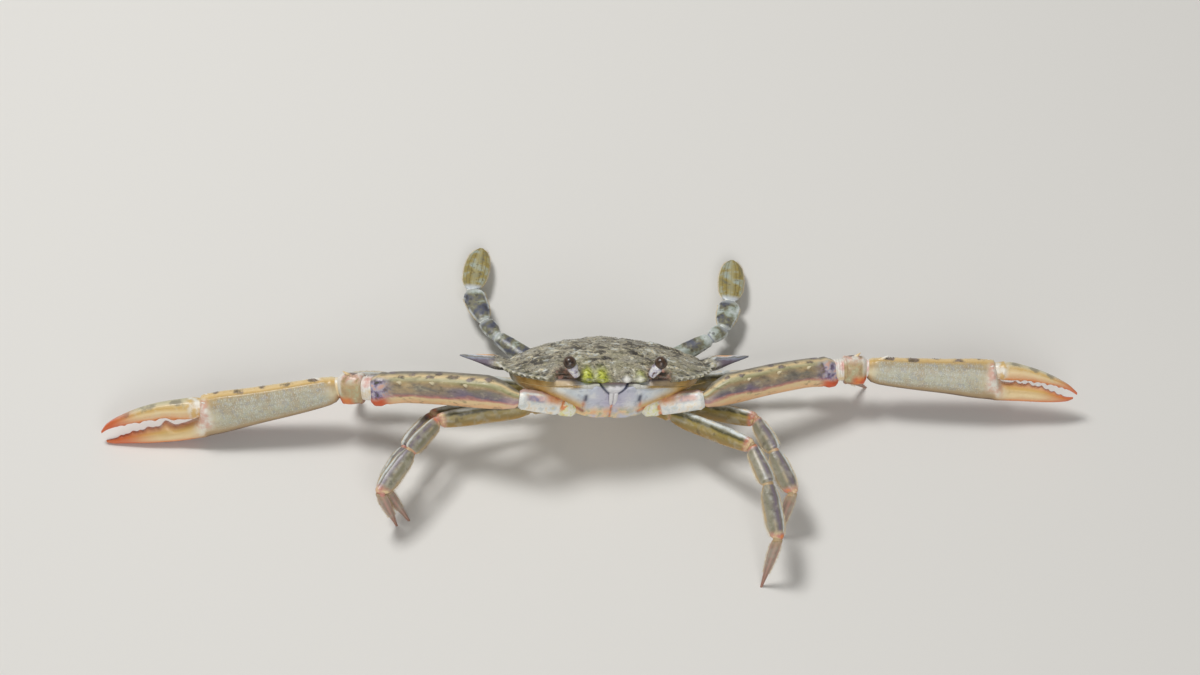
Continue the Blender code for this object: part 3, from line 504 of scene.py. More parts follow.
@dataclass
class Limb:
    """One straight stretch of a limb between two joints, lofted from its stations."""

    start: Array
    way: Array
    up: Array
    stations: Array
    size: float = 1.0
    near: Optional[Array] = None
    far: Optional[Array] = None
    columns: int = 40
    step: float = 0.4
    power: float = 0.82
    first: Optional[float] = None
    relief: tuple = ()
    # place along, turn in degrees, half length and half width in millimetres of each dark marking
    spots: Table = ()
    dish: tuple[float, float] = (0.12, -0.3)
    clearance: float = 0.12
    end_rows: tuple[float, ...] = (0.06, 0.14, 0.24, 0.36, 0.5, 0.7, 0.9)
    height: Array = field(init=False)
    front: Array = field(init=False)

    def __post_init__(self) -> None:
        """Square the axes: along, toward the viewer's side, and up the height."""
        self.way = unit(self.way)
        self.height = unit(self.up - self.way * (self.up @ self.way))
        across = np.cross(self.height, self.way)
        self.front = across * (1.0 if across @ TOWARD_EYE > 0.0 else -1.0)

    @property
    def end(self) -> Array:
        """Place of the far joint."""
        return self.start + self.way * (self.stations[-1, 0] * self.size * MM)

    def at(self, place: float, turn: float, reach: float = 1.0) -> Array:
        """World place on the surface at a station place and a turn in degrees, or at a share of its depth."""
        top, bottom, half = monotone(self.stations[:, 0], self.stations[:, 1:], np.array([place]))[0]
        c, s = math.cos(math.radians(turn)), math.sin(math.radians(turn))
        wide = half * math.copysign(abs(c) ** self.power, c) * reach
        tall = (top + bottom) / 2 + (top - bottom) / 2 * math.copysign(abs(s) ** self.power, s) * reach
        return self.start + (self.way * place + self.front * wide + self.height * tall) * self.size * MM

    def out(self, turn: float) -> Array:
        """World direction away from the axis at a turn in degrees."""
        a = math.radians(turn)
        return self.front * math.cos(a) + self.height * math.sin(a)

    def rows(self) -> Array:
        """Places of the rings, closer together at both ends."""
        begin = self.stations[0, 0] if self.first is None else self.first
        finish = self.stations[-1, 0]
        ends = np.array(self.end_rows)
        plain = np.linspace(begin, finish, max(int((finish - begin) / self.step), 8))
        places = np.concatenate([plain, begin + ends, finish - ends])
        return np.unique(np.round(np.clip(places, begin, finish), 4))

    def skin(self) -> Skin:
        """Build the closed skin of this stretch with its place and marking values."""
        rows = self.rows()
        top, bottom, half = monotone(self.stations[:, 0], self.stations[:, 1:], rows).T[:, :, None]
        degrees = np.linspace(-180.0, 180.0, self.columns, endpoint=False)
        along, turn = np.meshgrid(rows, degrees, indexing="ij")
        c, s = np.cos(np.radians(turn)), np.sin(np.radians(turn))
        girth = (half + (top - bottom) / 2) / 2 + 0.0 * along
        lift = sum((shape.lift(along, turn, girth) for shape in self.relief), 0.0 * along)
        nx, ny = c / half, s / ((top - bottom) / 2)
        norm = np.hypot(nx, ny)
        wide = half * np.sign(c) * np.abs(c) ** self.power + lift * nx / norm
        tall = (top + bottom) / 2 + (top - bottom) / 2 * np.sign(s) * np.abs(s) ** self.power
        tall = tall + lift * ny / norm
        offset = self.front * wide[..., None] + self.height * tall[..., None]
        shift = 0.0 * along
        reach = min(4.0, (rows[-1] - rows[0]) / 2.0)
        for normal, end, sign in ((self.near, 0.0, 1.0), (self.far, self.stations[-1, 0], -1.0)):
            if normal is not None:
                cut = (sign * self.clearance / self.size - offset @ normal) / (self.way @ normal)
                shift += cut * np.clip(1.0 - np.abs(along - end) / reach, 0.0, 1.0) ** 2
        place = self.start + (offset + self.way * (along + shift)[..., None]) * self.size * MM
        place[..., 2] = np.maximum(place[..., 2], 0.0)
        mark = 0.0 * along
        for spot, middle, long, broad in self.spots:
            away = np.hypot((along - spot) / long, around(turn, middle, girth) / broad)
            mark = np.maximum(mark, bell(away * 0.83))
        limb = np.stack([along, turn / 180.0, np.zeros_like(along)], axis=-1)
        return lofted(place, {"limb": limb, "mark": mark}, (self.dish[0] * MM, self.dish[1] * MM))


def bisector(inner: Array, outer: Array) -> Array:
    """Normal of the plane halfway round a bend."""
    return unit(unit(inner) + unit(outer))


def sleeve(middle: Array, way: Array, up: Array, girth: Sequence[float], length: float, ribs: int, rise: float,
           columns: int = 32) -> Skin:
    """Ribbed skin that closes the gap between two stretches of a limb.

    Args:
        middle: the joint's place, in metres.
        way: direction that the limb runs in.
        up: direction of its height.
        girth: top, bottom and half thickness in millimetres.
        length: length in millimetres.
        ribs: count of the ribs.
        rise: their height in millimetres.
        columns: points round it.

    Returns:
        The closed sleeve.
    """
    start = middle - unit(way) * length / 2 * MM
    folds = tuple(Rim((k + 0.5) / ribs * length, 0.25 * length / ribs, rise) for k in range(ribs))
    stations = np.array([(place, *girth) for place in (0.0, length)])
    step = length / max(ribs * 8, 12)
    return Limb(start, way, up, stations, columns=columns, step=step, relief=folds, dish=(0.0, 0.0)).skin()


def mitred(limbs: Sequence[Limb], swell: float, thick: float, length: float) -> Skin:
    """Cut neighbouring stretches of a limb to meet halfway round their bends.

    Args:
        limbs: the stretches from the body outward.
        swell: height of the joint skins, as a share of the limb's.
        thick: thickness of the joint skins, as a share of the limb's.
        length: length of the joint skins in millimetres.

    Returns:
        The skins of all joints.
    """
    skins = []
    for inner, outer in zip(limbs, limbs[1:]):
        inner.far = outer.near = bisector(inner.way, outer.way)
        tall = inner.stations[-1, 1] * swell
        girth = (tall, -tall, inner.stations[-1, 3] * thick)
        skins.append(sleeve(inner.end, inner.far, inner.up, girth, length, 2, 0.06, 20))
    return skins[0].joined(*skins[1:])


# ---------------------------------------------------------------- node graphs
class Graph:
    """Adds and links nodes in one tree, with short words for the usual ones."""

    def __init__(self, tree: bpy.types.NodeTree) -> None:
        """Keep the tree that the nodes go into."""
        self.tree = tree

    def add(self, kind: str, feeds: Optional[dict] = None, **settings: object) -> bpy.types.Node:
        """Add a node.

        Args:
            kind: the node's type name.
            feeds: what goes into its inputs, by name or number.
            settings: properties of the node itself.

        Returns:
            The new node.
        """
        node = self.tree.nodes.new(kind)
        for name, value in settings.items():
            setattr(node, name, value)
        for key, value in (feeds or {}).items():
            self.feed(node.inputs[key], value)
        return node

    def feed(self, socket: Socket, value: Feed) -> None:
        """Link a socket, or set it to a number, vector or tint."""
        if isinstance(value, bpy.types.NodeSocket):
            self.tree.links.new(value, socket)
        else:
            socket.default_value = value.rgba() if isinstance(value, Tint) else value

    def math(self, operation: str, a: Feed, b: Feed = 0.0, clamp: bool = False) -> Socket:
        """One arithmetic step."""
        return self.add("ShaderNodeMath", {0: a, 1: b}, operation=operation, use_clamp=clamp).outputs[0]

    def both(self, *masks: Feed) -> Socket:
        """Product of masks."""
        result = masks[0]
        for mask in masks[1:]:
            result = self.math("MULTIPLY", result, mask)
        return result

    def step(self, value: Feed, low: float, high: float) -> Socket:
        """Smooth rise of a mask from 0 at low to 1 at high; it falls where low is above high."""
        ends = {1: min(low, high), 2: max(low, high), 3: float(low > high), 4: float(low < high)}
        return self.add("ShaderNodeMapRange", {0: value, **ends}, interpolation_type="SMOOTHSTEP").outputs[0]

    def size(self, value: Feed) -> Socket:
        """A value without its sign."""
        return self.math("ABSOLUTE", value)

    def near(self, value: Feed, centre: float, wide: float, close: float) -> Socket:
        """Mask of values near a centre: none at the wide distance, full at the close one."""
        return self.step(self.size(self.math("SUBTRACT", value, centre)), wide, close)

    def shaken(self, value: Feed, cloud: Feed, amount: float) -> Socket:
        """A value made uneven by a cloud's swing round its middle."""
        return self.math("ADD", value, self.math("MULTIPLY", self.math("SUBTRACT", cloud, 0.5), amount))

    def level(self, value: Feed) -> Socket:
        """A value from -1 to 1 brought to 0 to 1."""
        return self.math("MULTIPLY", self.math("ADD", value, 1.0), 0.5)

    def wave(self, value: Feed, rate: float) -> Socket:
        """Sine of a value times a rate."""
        return self.math("SINE", self.math("MULTIPLY", value, rate))

    def cells(self, vector: Feed, scale: Feed, **feeds: Feed) -> Socket:
        """Distance from the nearest of scattered points."""
        return self.add("ShaderNodeTexVoronoi", {"Vector": vector, "Scale": scale, **feeds}).outputs["Distance"]

    def cloud(self, vector: Feed, scale: Feed) -> Socket:
        """Plain noise over a vector."""
        return self.add("ShaderNodeTexNoise", {"Vector": vector, "Scale": scale}).outputs[0]

    def group(self, tree: bpy.types.NodeTree, **feeds: Feed) -> Socket:
        """First output of a shared group."""
        return self.add("ShaderNodeGroup", feeds, node_tree=tree).outputs[0]


@dataclass(frozen=True)
class SharedEffects:
    """Node groups that several finishes use."""

    speckle: bpy.types.NodeTree
    granules: bpy.types.NodeTree

    @staticmethod
    def blank(name: str, sizes: dict[str, float], output: str) -> tuple[Graph, dict, Socket]:
        """Start a group that reads a vector.

        Args:
            name: the group's name.
            sizes: default of each number that it takes.
            output: name of its one value.

        Returns:
            Its graph, its inputs by name and its output socket.
        """
        tree = bpy.data.node_groups.new(name, "ShaderNodeTree")
        tree.interface.new_socket("Vector", in_out="INPUT", socket_type="NodeSocketVector")
        for label, value in sizes.items():
            feed = tree.interface.new_socket(label, in_out="INPUT", socket_type="NodeSocketFloat")
            feed.default_value = value
        tree.interface.new_socket(output, in_out="OUTPUT", socket_type="NodeSocketFloat")
        ins = tree.nodes.new("NodeGroupInput").outputs
        out = tree.nodes.new("NodeGroupOutput").inputs[0]
        return Graph(tree), {label: ins[label] for label in ("Vector", *sizes)}, out

    @classmethod
    def make(cls) -> "SharedEffects":
        """Build every shared group once."""
        g, i, out = cls.blank("speckle", {"Scale": 600.0, "Size": 0.3}, "Mask")
        speckle = g.tree
        rough = g.cloud(i["Vector"], g.math("MULTIPLY", i["Scale"], 1.7))
        uneven = g.shaken(g.cells(i["Vector"], i["Scale"]), rough, 0.55)
        past = g.math("DIVIDE", g.math("SUBTRACT", uneven, i["Size"]), 0.12)
        g.feed(out, g.step(past, 1.0, 0.0))

        g, i, out = cls.blank("granular_relief", {"Scale": 1500.0, "Depth": 0.5}, "Height")
        dome = g.math("SUBTRACT", 1.0, g.step(g.cells(i["Vector"], i["Scale"]), 0.1, 0.65))
        swell = g.cloud(i["Vector"], g.math("MULTIPLY", i["Scale"], 0.2))
        g.feed(out, g.math("MULTIPLY", g.math("ADD", dome, swell), i["Depth"]))
        return cls(speckle, g.tree)


class Painter(Graph):
    """Paints one material: lays colours over one another where masks allow."""

    def __init__(self, tree: bpy.types.NodeTree, effects: SharedEffects) -> None:
        """Keep the material's tree and the shared groups, with nothing painted yet."""
        super().__init__(tree)
        self.effects = effects
        self.skin: Feed = Tint.WHITE

    def ramp(self, value: Feed, *stops: tuple[float, Tint]) -> Socket:
        """Colour from a value by a row of rising stops."""
        node = self.add("ShaderNodeValToRGB", {0: value})
        row = node.color_ramp.elements
        while len(row) < len(stops):
            row.new(0.5)
        for element, (place, tint) in zip(row, stops):
            element.position = place
            element.color = tint.rgba()
        return node.outputs[0]

    def start(self, value: Feed, *stops: tuple[float, Tint]) -> None:
        """Begin with colours from a value by a row of rising stops."""
        self.skin = self.ramp(value, *stops)

    def lay(self, colour: Feed, *masks: Feed) -> None:
        """Lay a colour over the painted ones, as much as the product of the masks says."""
        feeds = {0: self.both(*masks), 6: self.skin, 7: colour}
        self.skin = self.add("ShaderNodeMix", feeds, data_type="RGBA").outputs[2]

    def place(self) -> Socket:
        """Object coordinates, in metres."""
        return self.add("ShaderNodeTexCoord").outputs["Object"]

    def stretched(self, *scale: float) -> Socket:
        """Object coordinates scaled by three numbers."""
        return self.add("ShaderNodeMapping", {0: self.place(), 3: scale}).outputs[0]

    def vector(self, name: str) -> Socket:
        """One surface vector."""
        return self.add("ShaderNodeAttribute", attribute_name=name).outputs["Vector"]

    def values(self, name: str) -> tuple[Socket, Socket, Socket]:
        """The three numbers of a surface vector."""
        parts = self.add("ShaderNodeSeparateXYZ", {0: self.vector(name)}).outputs
        return parts[0], parts[1], parts[2]

    def value(self, name: str) -> Socket:
        """One surface number."""
        return self.add("ShaderNodeAttribute", attribute_name=name).outputs["Fac"]

    def noise(self, scale: float, detail: float = 3.0, rough: float = 0.5,
              vector: Optional[Socket] = None) -> Socket:
        """Cloudy noise from 0 to 1."""
        feeds = {"Vector": vector or self.place(), "Scale": scale, "Detail": detail, "Roughness": rough}
        return self.add("ShaderNodeTexNoise", feeds).outputs[0]

    def specks(self, scale: float, size: float, vector: Optional[Socket] = None) -> Socket:
        """Mask of small uneven dots."""
        return self.group(self.effects.speckle, Vector=vector or self.place(), Scale=scale, Size=size)


@dataclass(frozen=True)
class Finish:
    """A surface of the crab: gloss, grain and the colours that its kind paints."""

    name: str
    roughness: float = 0.42
    coat: float = 0.25
    grain: float = 1400.0
    grain_depth: float = 0.3
    coat_roughness: float = 0.22
    bump: float = 0.12

    def paint(self, p: Painter) -> None:
        """Paint the base colour; each kind has its own."""
        raise NotImplementedError

    def build(self, effects: SharedEffects) -> bpy.types.Material:
        """Make the material with its colour, uneven gloss and fine relief."""
        material = bpy.data.materials.new(self.name)
        material.use_nodes = True
        shader = material.node_tree.nodes["Principled BSDF"]
        p = Painter(material.node_tree, effects)
        self.paint(p)
        p.feed(shader.inputs["Base Color"], p.skin)
        uneven = p.math("MULTIPLY", p.math("SUBTRACT", p.noise(420.0), 0.5), 0.35)
        p.feed(shader.inputs["Roughness"], p.math("ADD", uneven, self.roughness, clamp=True))
        height = p.group(effects.granules, Vector=p.place(), Scale=self.grain, Depth=self.grain_depth)
        bump = p.add("ShaderNodeBump", {"Height": height, "Strength": 0.6, "Distance": self.bump * MM})
        p.feed(shader.inputs["Normal"], bump.outputs[0])
        shader.inputs["Coat Weight"].default_value = self.coat
        shader.inputs["Coat Roughness"].default_value = self.coat_roughness
        return material


class ShellFinish(Finish):
    """Granular back: fine grey, brown and cream streaks lying across it."""

    def paint(self, p: Painter) -> None:
        """Paint the streaks of the back, the green brow, the pale teeth and the dark brown round the eyes,
        partly own brown and partly painted shade of the eye hollows.
        """
        x, y, _ = p.values("body")
        body = p.vector("body")
        across = p.add("ShaderNodeMapping", {0: body, 3: (0.55, 1.25, 1.0)}).outputs[0]
        leaning = p.add("ShaderNodeMapping", {0: body, 2: (0.0, 0.0, 0.5), 3: (0.45, 1.1, 1.0)}).outputs[0]
        p.start(p.noise(0.5, 5.0, 0.6, across), (0.34, Tint.SOOT), (0.42, Tint.STONE), (0.50, Tint.SAND),
                (0.58, Tint.PALE_STONE), (0.68, Tint.MIST))
        p.lay(Tint.STONE, p.step(p.noise(0.22, 2.0, 0.5, body), 0.40, 0.62), 0.3)
        broad = p.noise(0.26, 3.0, 0.55, across)
        crust = p.ramp(p.noise(1.0, 3.0, 0.6, body), (0.4, Tint.SAND), (0.6, Tint.PALE_STONE))
        p.lay(crust, p.step(broad, 0.51, 0.57), 0.8)
        crumb = p.ramp(p.noise(1.2, 2.0, 0.5, body), (0.4, Tint.CREAM), (0.6, Tint.MIST))
        p.lay(crumb, p.step(p.noise(0.55, 2.0, 0.5, across), 0.56, 0.61),
              p.step(p.noise(0.2, 2.0, 0.5, body), 0.40, 0.5), 0.85)
        p.lay(Tint.SOOT, p.step(broad, 0.46, 0.38), 0.75)
        p.lay(Tint.SOOT, p.near(p.noise(0.42, 3.0, 0.55, leaning), 0.5, 0.028, 0.006), 0.6)
        p.lay(Tint.CREAM, p.near(p.noise(0.5, 3.0, 0.55, across), 0.47, 0.022, 0.006), 0.55)
        p.lay(Tint.SOOT, p.specks(0.62, 0.16, body), 0.6)
        p.lay(Tint.MOSS, p.step(y, -3.0, -9.0), p.step(p.noise(0.35, 2.0, 0.5, body), 0.45, 0.62), 0.35)
        p.lay(Tint.PALE_STONE, p.value("bead"), 0.4)
        pale = p.ramp(p.noise(0.6, 3.0, 0.6, body), (0.4, Tint.PALE_OLIVE), (0.6, Tint.WHITE))
        p.lay(pale, p.value("edge"), p.step(p.size(x), 16.0, 19.0), 0.85)
        p.lay(Tint.WHITE, p.value("tips"), 0.92)
        green = p.ramp(p.noise(1.1, 3.0, 0.6, body), (0.38, Tint.DARK_LEAF), (0.5, Tint.LEAF),
                       (0.64, Tint.LIME))
        p.lay(green, p.value("leaf"), 0.95)
        # dark brown round the eyes: partly their own brown, partly painted shade of the eye hollows
        brown = p.noise(0.9, 3.0, 0.6, body)
        p.lay(p.ramp(brown, (0.36, Tint.BLACK_BROWN), (0.5, Tint.BROWN), (0.66, Tint.ROSE)), p.value("hollow"))
        ridge = p.shaken(p.value("ridge"), p.noise(0.8, 3.0, 0.6, across), 0.5)
        spine = p.ramp(ridge, (0.05, Tint.PURPLE_GREY), (0.30, Tint.BLUE_GREY), (0.50, Tint.STONE),
                       (0.62, Tint.PALE_BLUE), (0.80, Tint.PEACH))
        p.lay(spine, p.step(p.size(x), 29.0, 33.0))
        p.lay(Tint.MARINE, p.value("mark"), 0.85)


class BellyFinish(Finish):
    """Smooth lower body: pale blue face, ochre sides, peach lower edge, dark seams and a dark band under the
    shield's rim, partly dark skin and partly painted shade.
    """

    def paint(self, p: Painter) -> None:
        """Paint the pale face and its bands."""
        x, _, z = p.values("body")
        away = p.shaken(p.size(x), p.noise(260.0), 5.0)
        p.start(p.math("DIVIDE", away, 34.0), (0.05, Tint.LAVENDER), (0.25, Tint.PALE_BLUE), (0.42, Tint.MIST),
                (0.55, Tint.PALE_OLIVE), (0.8, Tint.GREY_OLIVE))
        p.lay(Tint.WHITE, p.step(p.noise(420.0, 4.0, 0.6), 0.45, 0.7), 0.45)
        p.lay(Tint.BLUE_GREY, p.step(p.noise(560.0), 0.52, 0.68), 0.35)
        warm = p.ramp(p.noise(520.0), (0.36, Tint.PEACH), (0.5, Tint.WARM_CREAM), (0.62, Tint.PALE_OLIVE))
        p.lay(warm, p.step(z, -7.6, -10.4), p.step(p.noise(330.0), 0.30, 0.58))
        gold = p.ramp(p.noise(380.0), (0.34, Tint.OCHRE), (0.5, Tint.AMBER), (0.66, Tint.HONEY))
        p.lay(gold, p.value("blush"))
        p.lay(p.ramp(p.noise(600.0), (0.4, Tint.RUST), (0.6, Tint.ORANGE)), p.value("rust"))
        p.lay(Tint.WHITE, p.value("pale"))
        # navy: dark seams, and under the shield's rim a band that is partly dark skin and partly painted shade
        # of the rim
        p.lay(Tint.NAVY, p.value("mark"))


class ArmFinish(Finish):
    """Upper arm: soft dark spots on a cream edge, purple grey side and orange cream keel."""

    def paint(self, p: Painter) -> None:
        """Paint the bands round the arm and the blue and red patches at its far end."""
        along, turn, tip = p.values("limb")
        streaks = p.noise(380.0, 4.0, 0.6, p.stretched(0.3, 1.0, 1.0))
        p.start(p.level(p.shaken(turn, streaks, 0.16)), (0.10, Tint.DEEP_TAN), (0.30, Tint.TAN),
                (0.38, Tint.PEACH), (0.455, Tint.WARM_CREAM), (0.478, Tint.ROSE), (0.50, Tint.PURPLE_GREY),
                (0.55, Tint.STONE), (0.59, Tint.DEEP_TAN), (0.625, Tint.MOSS), (0.66, Tint.PALE_OLIVE),
                (0.70, Tint.WARM_CREAM), (0.76, Tint.STONE))
        p.lay(p.ramp(streaks, (0.4, Tint.STONE), (0.6, Tint.TAN)),
              p.step(along, 8.0, 26.0), p.step(turn, -0.06, 0.03), p.step(turn, 0.34, 0.2), 0.75)
        p.lay(Tint.VIOLET, p.step(p.noise(130.0, 2.0), 0.5, 0.62), p.near(turn, 0.06, 0.12, 0.04),
              p.step(along, 24.0, 12.0), 0.4)
        cloud = p.noise(700.0, 4.0, 0.6, p.stretched(0.5, 1.0, 1.0))
        p.lay(Tint.CREAM, p.step(cloud, 0.5, 0.72), 0.35)
        p.lay(Tint.SOOT, p.step(cloud, 0.46, 0.3), 0.4)
        spots = p.step(p.shaken(p.value("mark"), p.noise(420.0, 5.0, 0.65), 2.2), 0.40, 0.85)
        p.lay(p.ramp(p.noise(900.0), (0.4, Tint.SOOT), (0.62, Tint.PURPLE_GREY)), spots, 0.8)
        blue = p.ramp(p.noise(560.0), (0.34, Tint.MARINE), (0.45, Tint.VIOLET), (0.56, Tint.LAVENDER),
                      (0.66, Tint.PINK))
        p.lay(blue, p.step(along, 33.6, 39.4), p.near(turn, 0.12, 0.36, 0.1), 0.85)
        p.lay(Tint.RED_ORANGE, p.step(along, 35.0, 39.0), p.step(turn, -0.02, -0.14), p.step(turn, -0.62, -0.5))
        p.lay(Tint.PINK, p.step(along, 5.0, 1.0), p.step(turn, 0.2, 0.0), 0.4)
        p.lay(Tint.CREAM, p.step(tip, 0.2, 0.7))


class WristFinish(Finish):
    """Wrist piece: olive tan with a bright orange lower corner."""

    def paint(self, p: Painter) -> None:
        """Paint the tan clouds, pale edges and the orange corner."""
        along, turn, tip = p.values("limb")
        p.start(p.noise(520.0, 4.0, 0.6), (0.3, Tint.DEEP_TAN), (0.48, Tint.TAN), (0.62, Tint.PALE_OLIVE),
                (0.75, Tint.CREAM))
        p.lay(p.ramp(p.noise(360.0, 4.0, 0.6), (0.38, Tint.DEEP_TAN), (0.46, Tint.PINK), (0.58, Tint.WHITE)),
              p.step(turn, 0.12, 0.42), 0.75)
        p.lay(Tint.SOOT, p.step(p.shaken(p.value("mark"), p.noise(520.0, 4.0), 1.2), 0.36, 0.62), 0.75)
        p.lay(Tint.WHITE, p.step(along, 7.6, 8.6), p.step(turn, -0.1, 0.1), 0.7)
        p.lay(Tint.RUST, p.step(turn, -0.16, -0.30), 0.7)
        p.lay(p.ramp(p.noise(500.0), (0.42, Tint.RED_ORANGE), (0.6, Tint.ORANGE)),
              p.step(along, 3.8, 6.2), p.step(turn, 0.0, -0.12), p.step(turn, -0.66, -0.5))
        p.lay(Tint.WARM_CREAM, p.step(tip, 0.2, 0.7))


class PalmFinish(Finish):
    """Claw palm and fixed finger: tan with rows of blue-white beads, cream crest and orange tip."""

    def paint(self, p: Painter) -> None:
        """Paint the beaded field, the blotched crest, the pink hinge and the orange finger."""
        along, turn, tip = p.values("limb")
        level = p.level(p.shaken(turn, p.noise(360.0, 4.0, 0.6, p.stretched(0.4, 1.0, 1.0)), 0.14))
        p.start(level, (0.15, Tint.RUST), (0.325, Tint.BROWN), (0.37, Tint.DEEP_TAN), (0.43, Tint.TAN),
                (0.50, Tint.CREAM), (0.60, Tint.TAN), (0.69, Tint.HONEY), (0.75, Tint.WARM_CREAM),
                (0.80, Tint.CREAM), (0.92, Tint.STONE))
        field_area = p.both(p.step(along, 1.0, 4.5), p.step(along, 38.5, 31.0),
                            p.step(turn, -0.24, -0.06), p.step(turn, 0.42, 0.30))
        grey = p.noise(240.0, 3.0, 0.6)
        p.lay(p.ramp(grey, (0.36, Tint.SAND), (0.5, Tint.SAGE), (0.62, Tint.PALE_STONE)), field_area, 0.6)
        lattice = p.add("ShaderNodeCombineXYZ", {0: p.both(along, 2.1), 1: p.both(turn, 11.0)}).outputs[0]
        dots = p.cells(lattice, 1.0, Randomness=0.5)
        p.lay(Tint.MIST, p.step(dots, 0.46, 0.22), field_area, 0.45)
        p.lay(Tint.BLUE_GREY, p.step(p.noise(820.0), 0.52, 0.66), field_area, 0.35)
        p.lay(p.ramp(grey, (0.4, Tint.CREAM), (0.6, Tint.MIST)), p.value("bead"), field_area, 0.55)
        spots = p.step(p.shaken(p.value("mark"), p.noise(330.0, 5.0, 0.65), 2.2), 0.40, 0.85)
        p.lay(p.ramp(p.noise(800.0), (0.4, Tint.SOOT), (0.65, Tint.PURPLE_GREY)), spots, 0.8)
        p.lay(p.ramp(p.noise(500.0), (0.4, Tint.PINK), (0.58, Tint.WHITE)), p.step(along, 34.6, 37.0),
              p.step(along, 43.0, 39.5), p.step(turn, -0.2, 0.0), p.step(turn, 0.5, 0.3), 0.8)
        orange = p.ramp(level, (0.2, Tint.RUST), (0.32, Tint.RED_ORANGE), (0.36, Tint.ORANGE),
                        (0.42, Tint.PEACH), (0.49, Tint.WARM_CREAM), (0.62, Tint.HONEY), (0.70, Tint.PEACH),
                        (0.80, Tint.PINK))
        p.lay(orange, p.step(along, 37.5, 44.5))
        p.lay(Tint.RED_ORANGE, p.step(along, 50.0, 63.0), 0.85)
        p.lay(Tint.WHITE, p.step(tip, 0.3, 0.8), p.step(along, 44.0, 40.0))


class FingerFinish(Finish):
    """Moving finger: orange cream, soft dark blotches on its crest and a red-orange tip."""

    def paint(self, p: Painter) -> None:
        """Paint the orange side, the crest blotches and the tip."""
        along, turn, _ = p.values("limb")
        level = p.level(p.shaken(turn, p.noise(380.0, 4.0, 0.6, p.stretched(0.4, 1.0, 1.0)), 0.2))
        p.start(level, (0.2, Tint.PINK), (0.36, Tint.ORANGE), (0.44, Tint.PEACH), (0.53, Tint.WARM_CREAM),
                (0.60, Tint.HONEY), (0.69, Tint.CREAM), (0.82, Tint.PALE_OLIVE))
        p.lay(Tint.CREAM, p.step(p.noise(700.0, 4.0), 0.5, 0.7), 0.35)
        p.lay(Tint.STONE, p.step(p.shaken(p.value("mark"), p.noise(340.0, 5.0, 0.65), 2.0), 0.40, 0.85), 0.7)
        p.lay(p.ramp(p.noise(500.0), (0.4, Tint.HONEY), (0.6, Tint.WHITE)), p.step(along, 3.4, 1.2), 0.8)
        p.lay(Tint.RED_ORANGE, p.step(along, 15.0, 25.0), 0.9)


class HipFinish(Finish):
    """Root of the claw: yellow-white knob, cream and white shaft, orange and violet patches."""

    def paint(self, p: Painter) -> None:
        """Paint the cream, its orange clouds and the violet streak."""
        along, turn, _ = p.values("limb")
        p.start(p.noise(420.0, 4.0, 0.6), (0.32, Tint.WARM_CREAM), (0.48, Tint.WHITE), (0.62, Tint.MIST),
                (0.72, Tint.CREAM))
        knob = p.noise(430.0, 3.0, 0.6)
        p.lay(p.ramp(knob, (0.34, Tint.ORANGE), (0.42, Tint.PALE_LIME), (0.56, Tint.WHITE), (0.68, Tint.LIME)),
              p.step(along, 5.2, 4.4))
        p.lay(p.ramp(p.noise(380.0), (0.4, Tint.ORANGE), (0.6, Tint.PEACH)),
              p.step(along, 4.4, 6.0), p.step(along, 12.0, 8.0), p.step(turn, 0.0, 0.22), 0.85)
        p.lay(Tint.ORANGE, p.near(along, 4.8, 0.7, 0.2), p.step(p.noise(500.0), 0.35, 0.55), 0.85)
        p.lay(p.ramp(p.noise(500.0), (0.4, Tint.VIOLET), (0.6, Tint.PINK)),
              p.near(along, 12.8, 3.2, 1.4), p.near(turn, 0.2, 0.16, 0.06), 0.75)
        p.lay(Tint.ROSE, p.step(turn, 0.36, 0.46), 0.6)


class LegFinish(Finish):
    """Walking leg: olive-gold inner pieces, purple-grey outer ones, pale keels, orange joints."""

    def paint(self, p: Painter) -> None:
        """Paint the leg by which piece it is, how far along and how far round."""
        _, turn, rank = p.values("limb")
        streaks = p.noise(300.0, 4.0, 0.6, p.stretched(0.8, 0.5, 0.8))
        level = p.level(p.shaken(p.wave(turn, math.pi), streaks, 0.7))
        p.start(level, (0.02, Tint.TAN), (0.14, Tint.OLD_GOLD), (0.4, Tint.BRONZE), (0.62, Tint.GOLD),
                (0.74, Tint.DARK_OLIVE), (0.84, Tint.GREY_OLIVE), (0.95, Tint.MIST))
        outer = p.ramp(level, (0.02, Tint.TAN), (0.14, Tint.SAND), (0.36, Tint.GREY_OLIVE), (0.52, Tint.STONE),
                       (0.70, Tint.PURPLE_GREY), (0.86, Tint.STONE), (0.96, Tint.MIST))
        p.lay(outer, p.step(rank, 1.4, 1.6))
        p.lay(p.ramp(p.noise(300.0), (0.4, Tint.MIST), (0.6, Tint.WARM_CREAM)),
              p.value("keel"), p.step(p.noise(420.0), 0.36, 0.6), 0.8)
        p.lay(Tint.PALE_STONE, p.step(p.noise(440.0, 4.0), 0.48, 0.66), 0.45)
        p.lay(Tint.SOOT, p.step(p.noise(520.0, 4.0), 0.42, 0.3), 0.4)
        joint = p.ramp(p.noise(500.0), (0.33, Tint.ORANGE), (0.46, Tint.ROSE), (0.64, Tint.WARM_CREAM))
        p.lay(joint, p.value("joint"), 0.9)
        p.lay(Tint.SOOT, p.value("mark"), 0.7)


class ToeFinish(Finish):
    """Last piece of a walking leg: pinkish brown with fine lengthwise grooves."""

    def paint(self, p: Painter) -> None:
        """Paint the rose brown, its pale keels and rusty tip."""
        along, turn, _ = p.values("limb")
        p.skin = Tint.ROSE
        p.lay(Tint.BROWN, p.size(p.wave(turn, 3.0 * math.pi)), 0.75)
        p.lay(Tint.PALE_STONE, p.step(p.noise(420.0), 0.45, 0.65), 0.5)
        p.lay(Tint.PALE_STONE, 0.35)
        p.lay(Tint.TAN, p.step(along, 3.5, 0.0), 0.5)
        p.lay(Tint.RUST, p.step(along, 9.0, 15.0), 0.4)


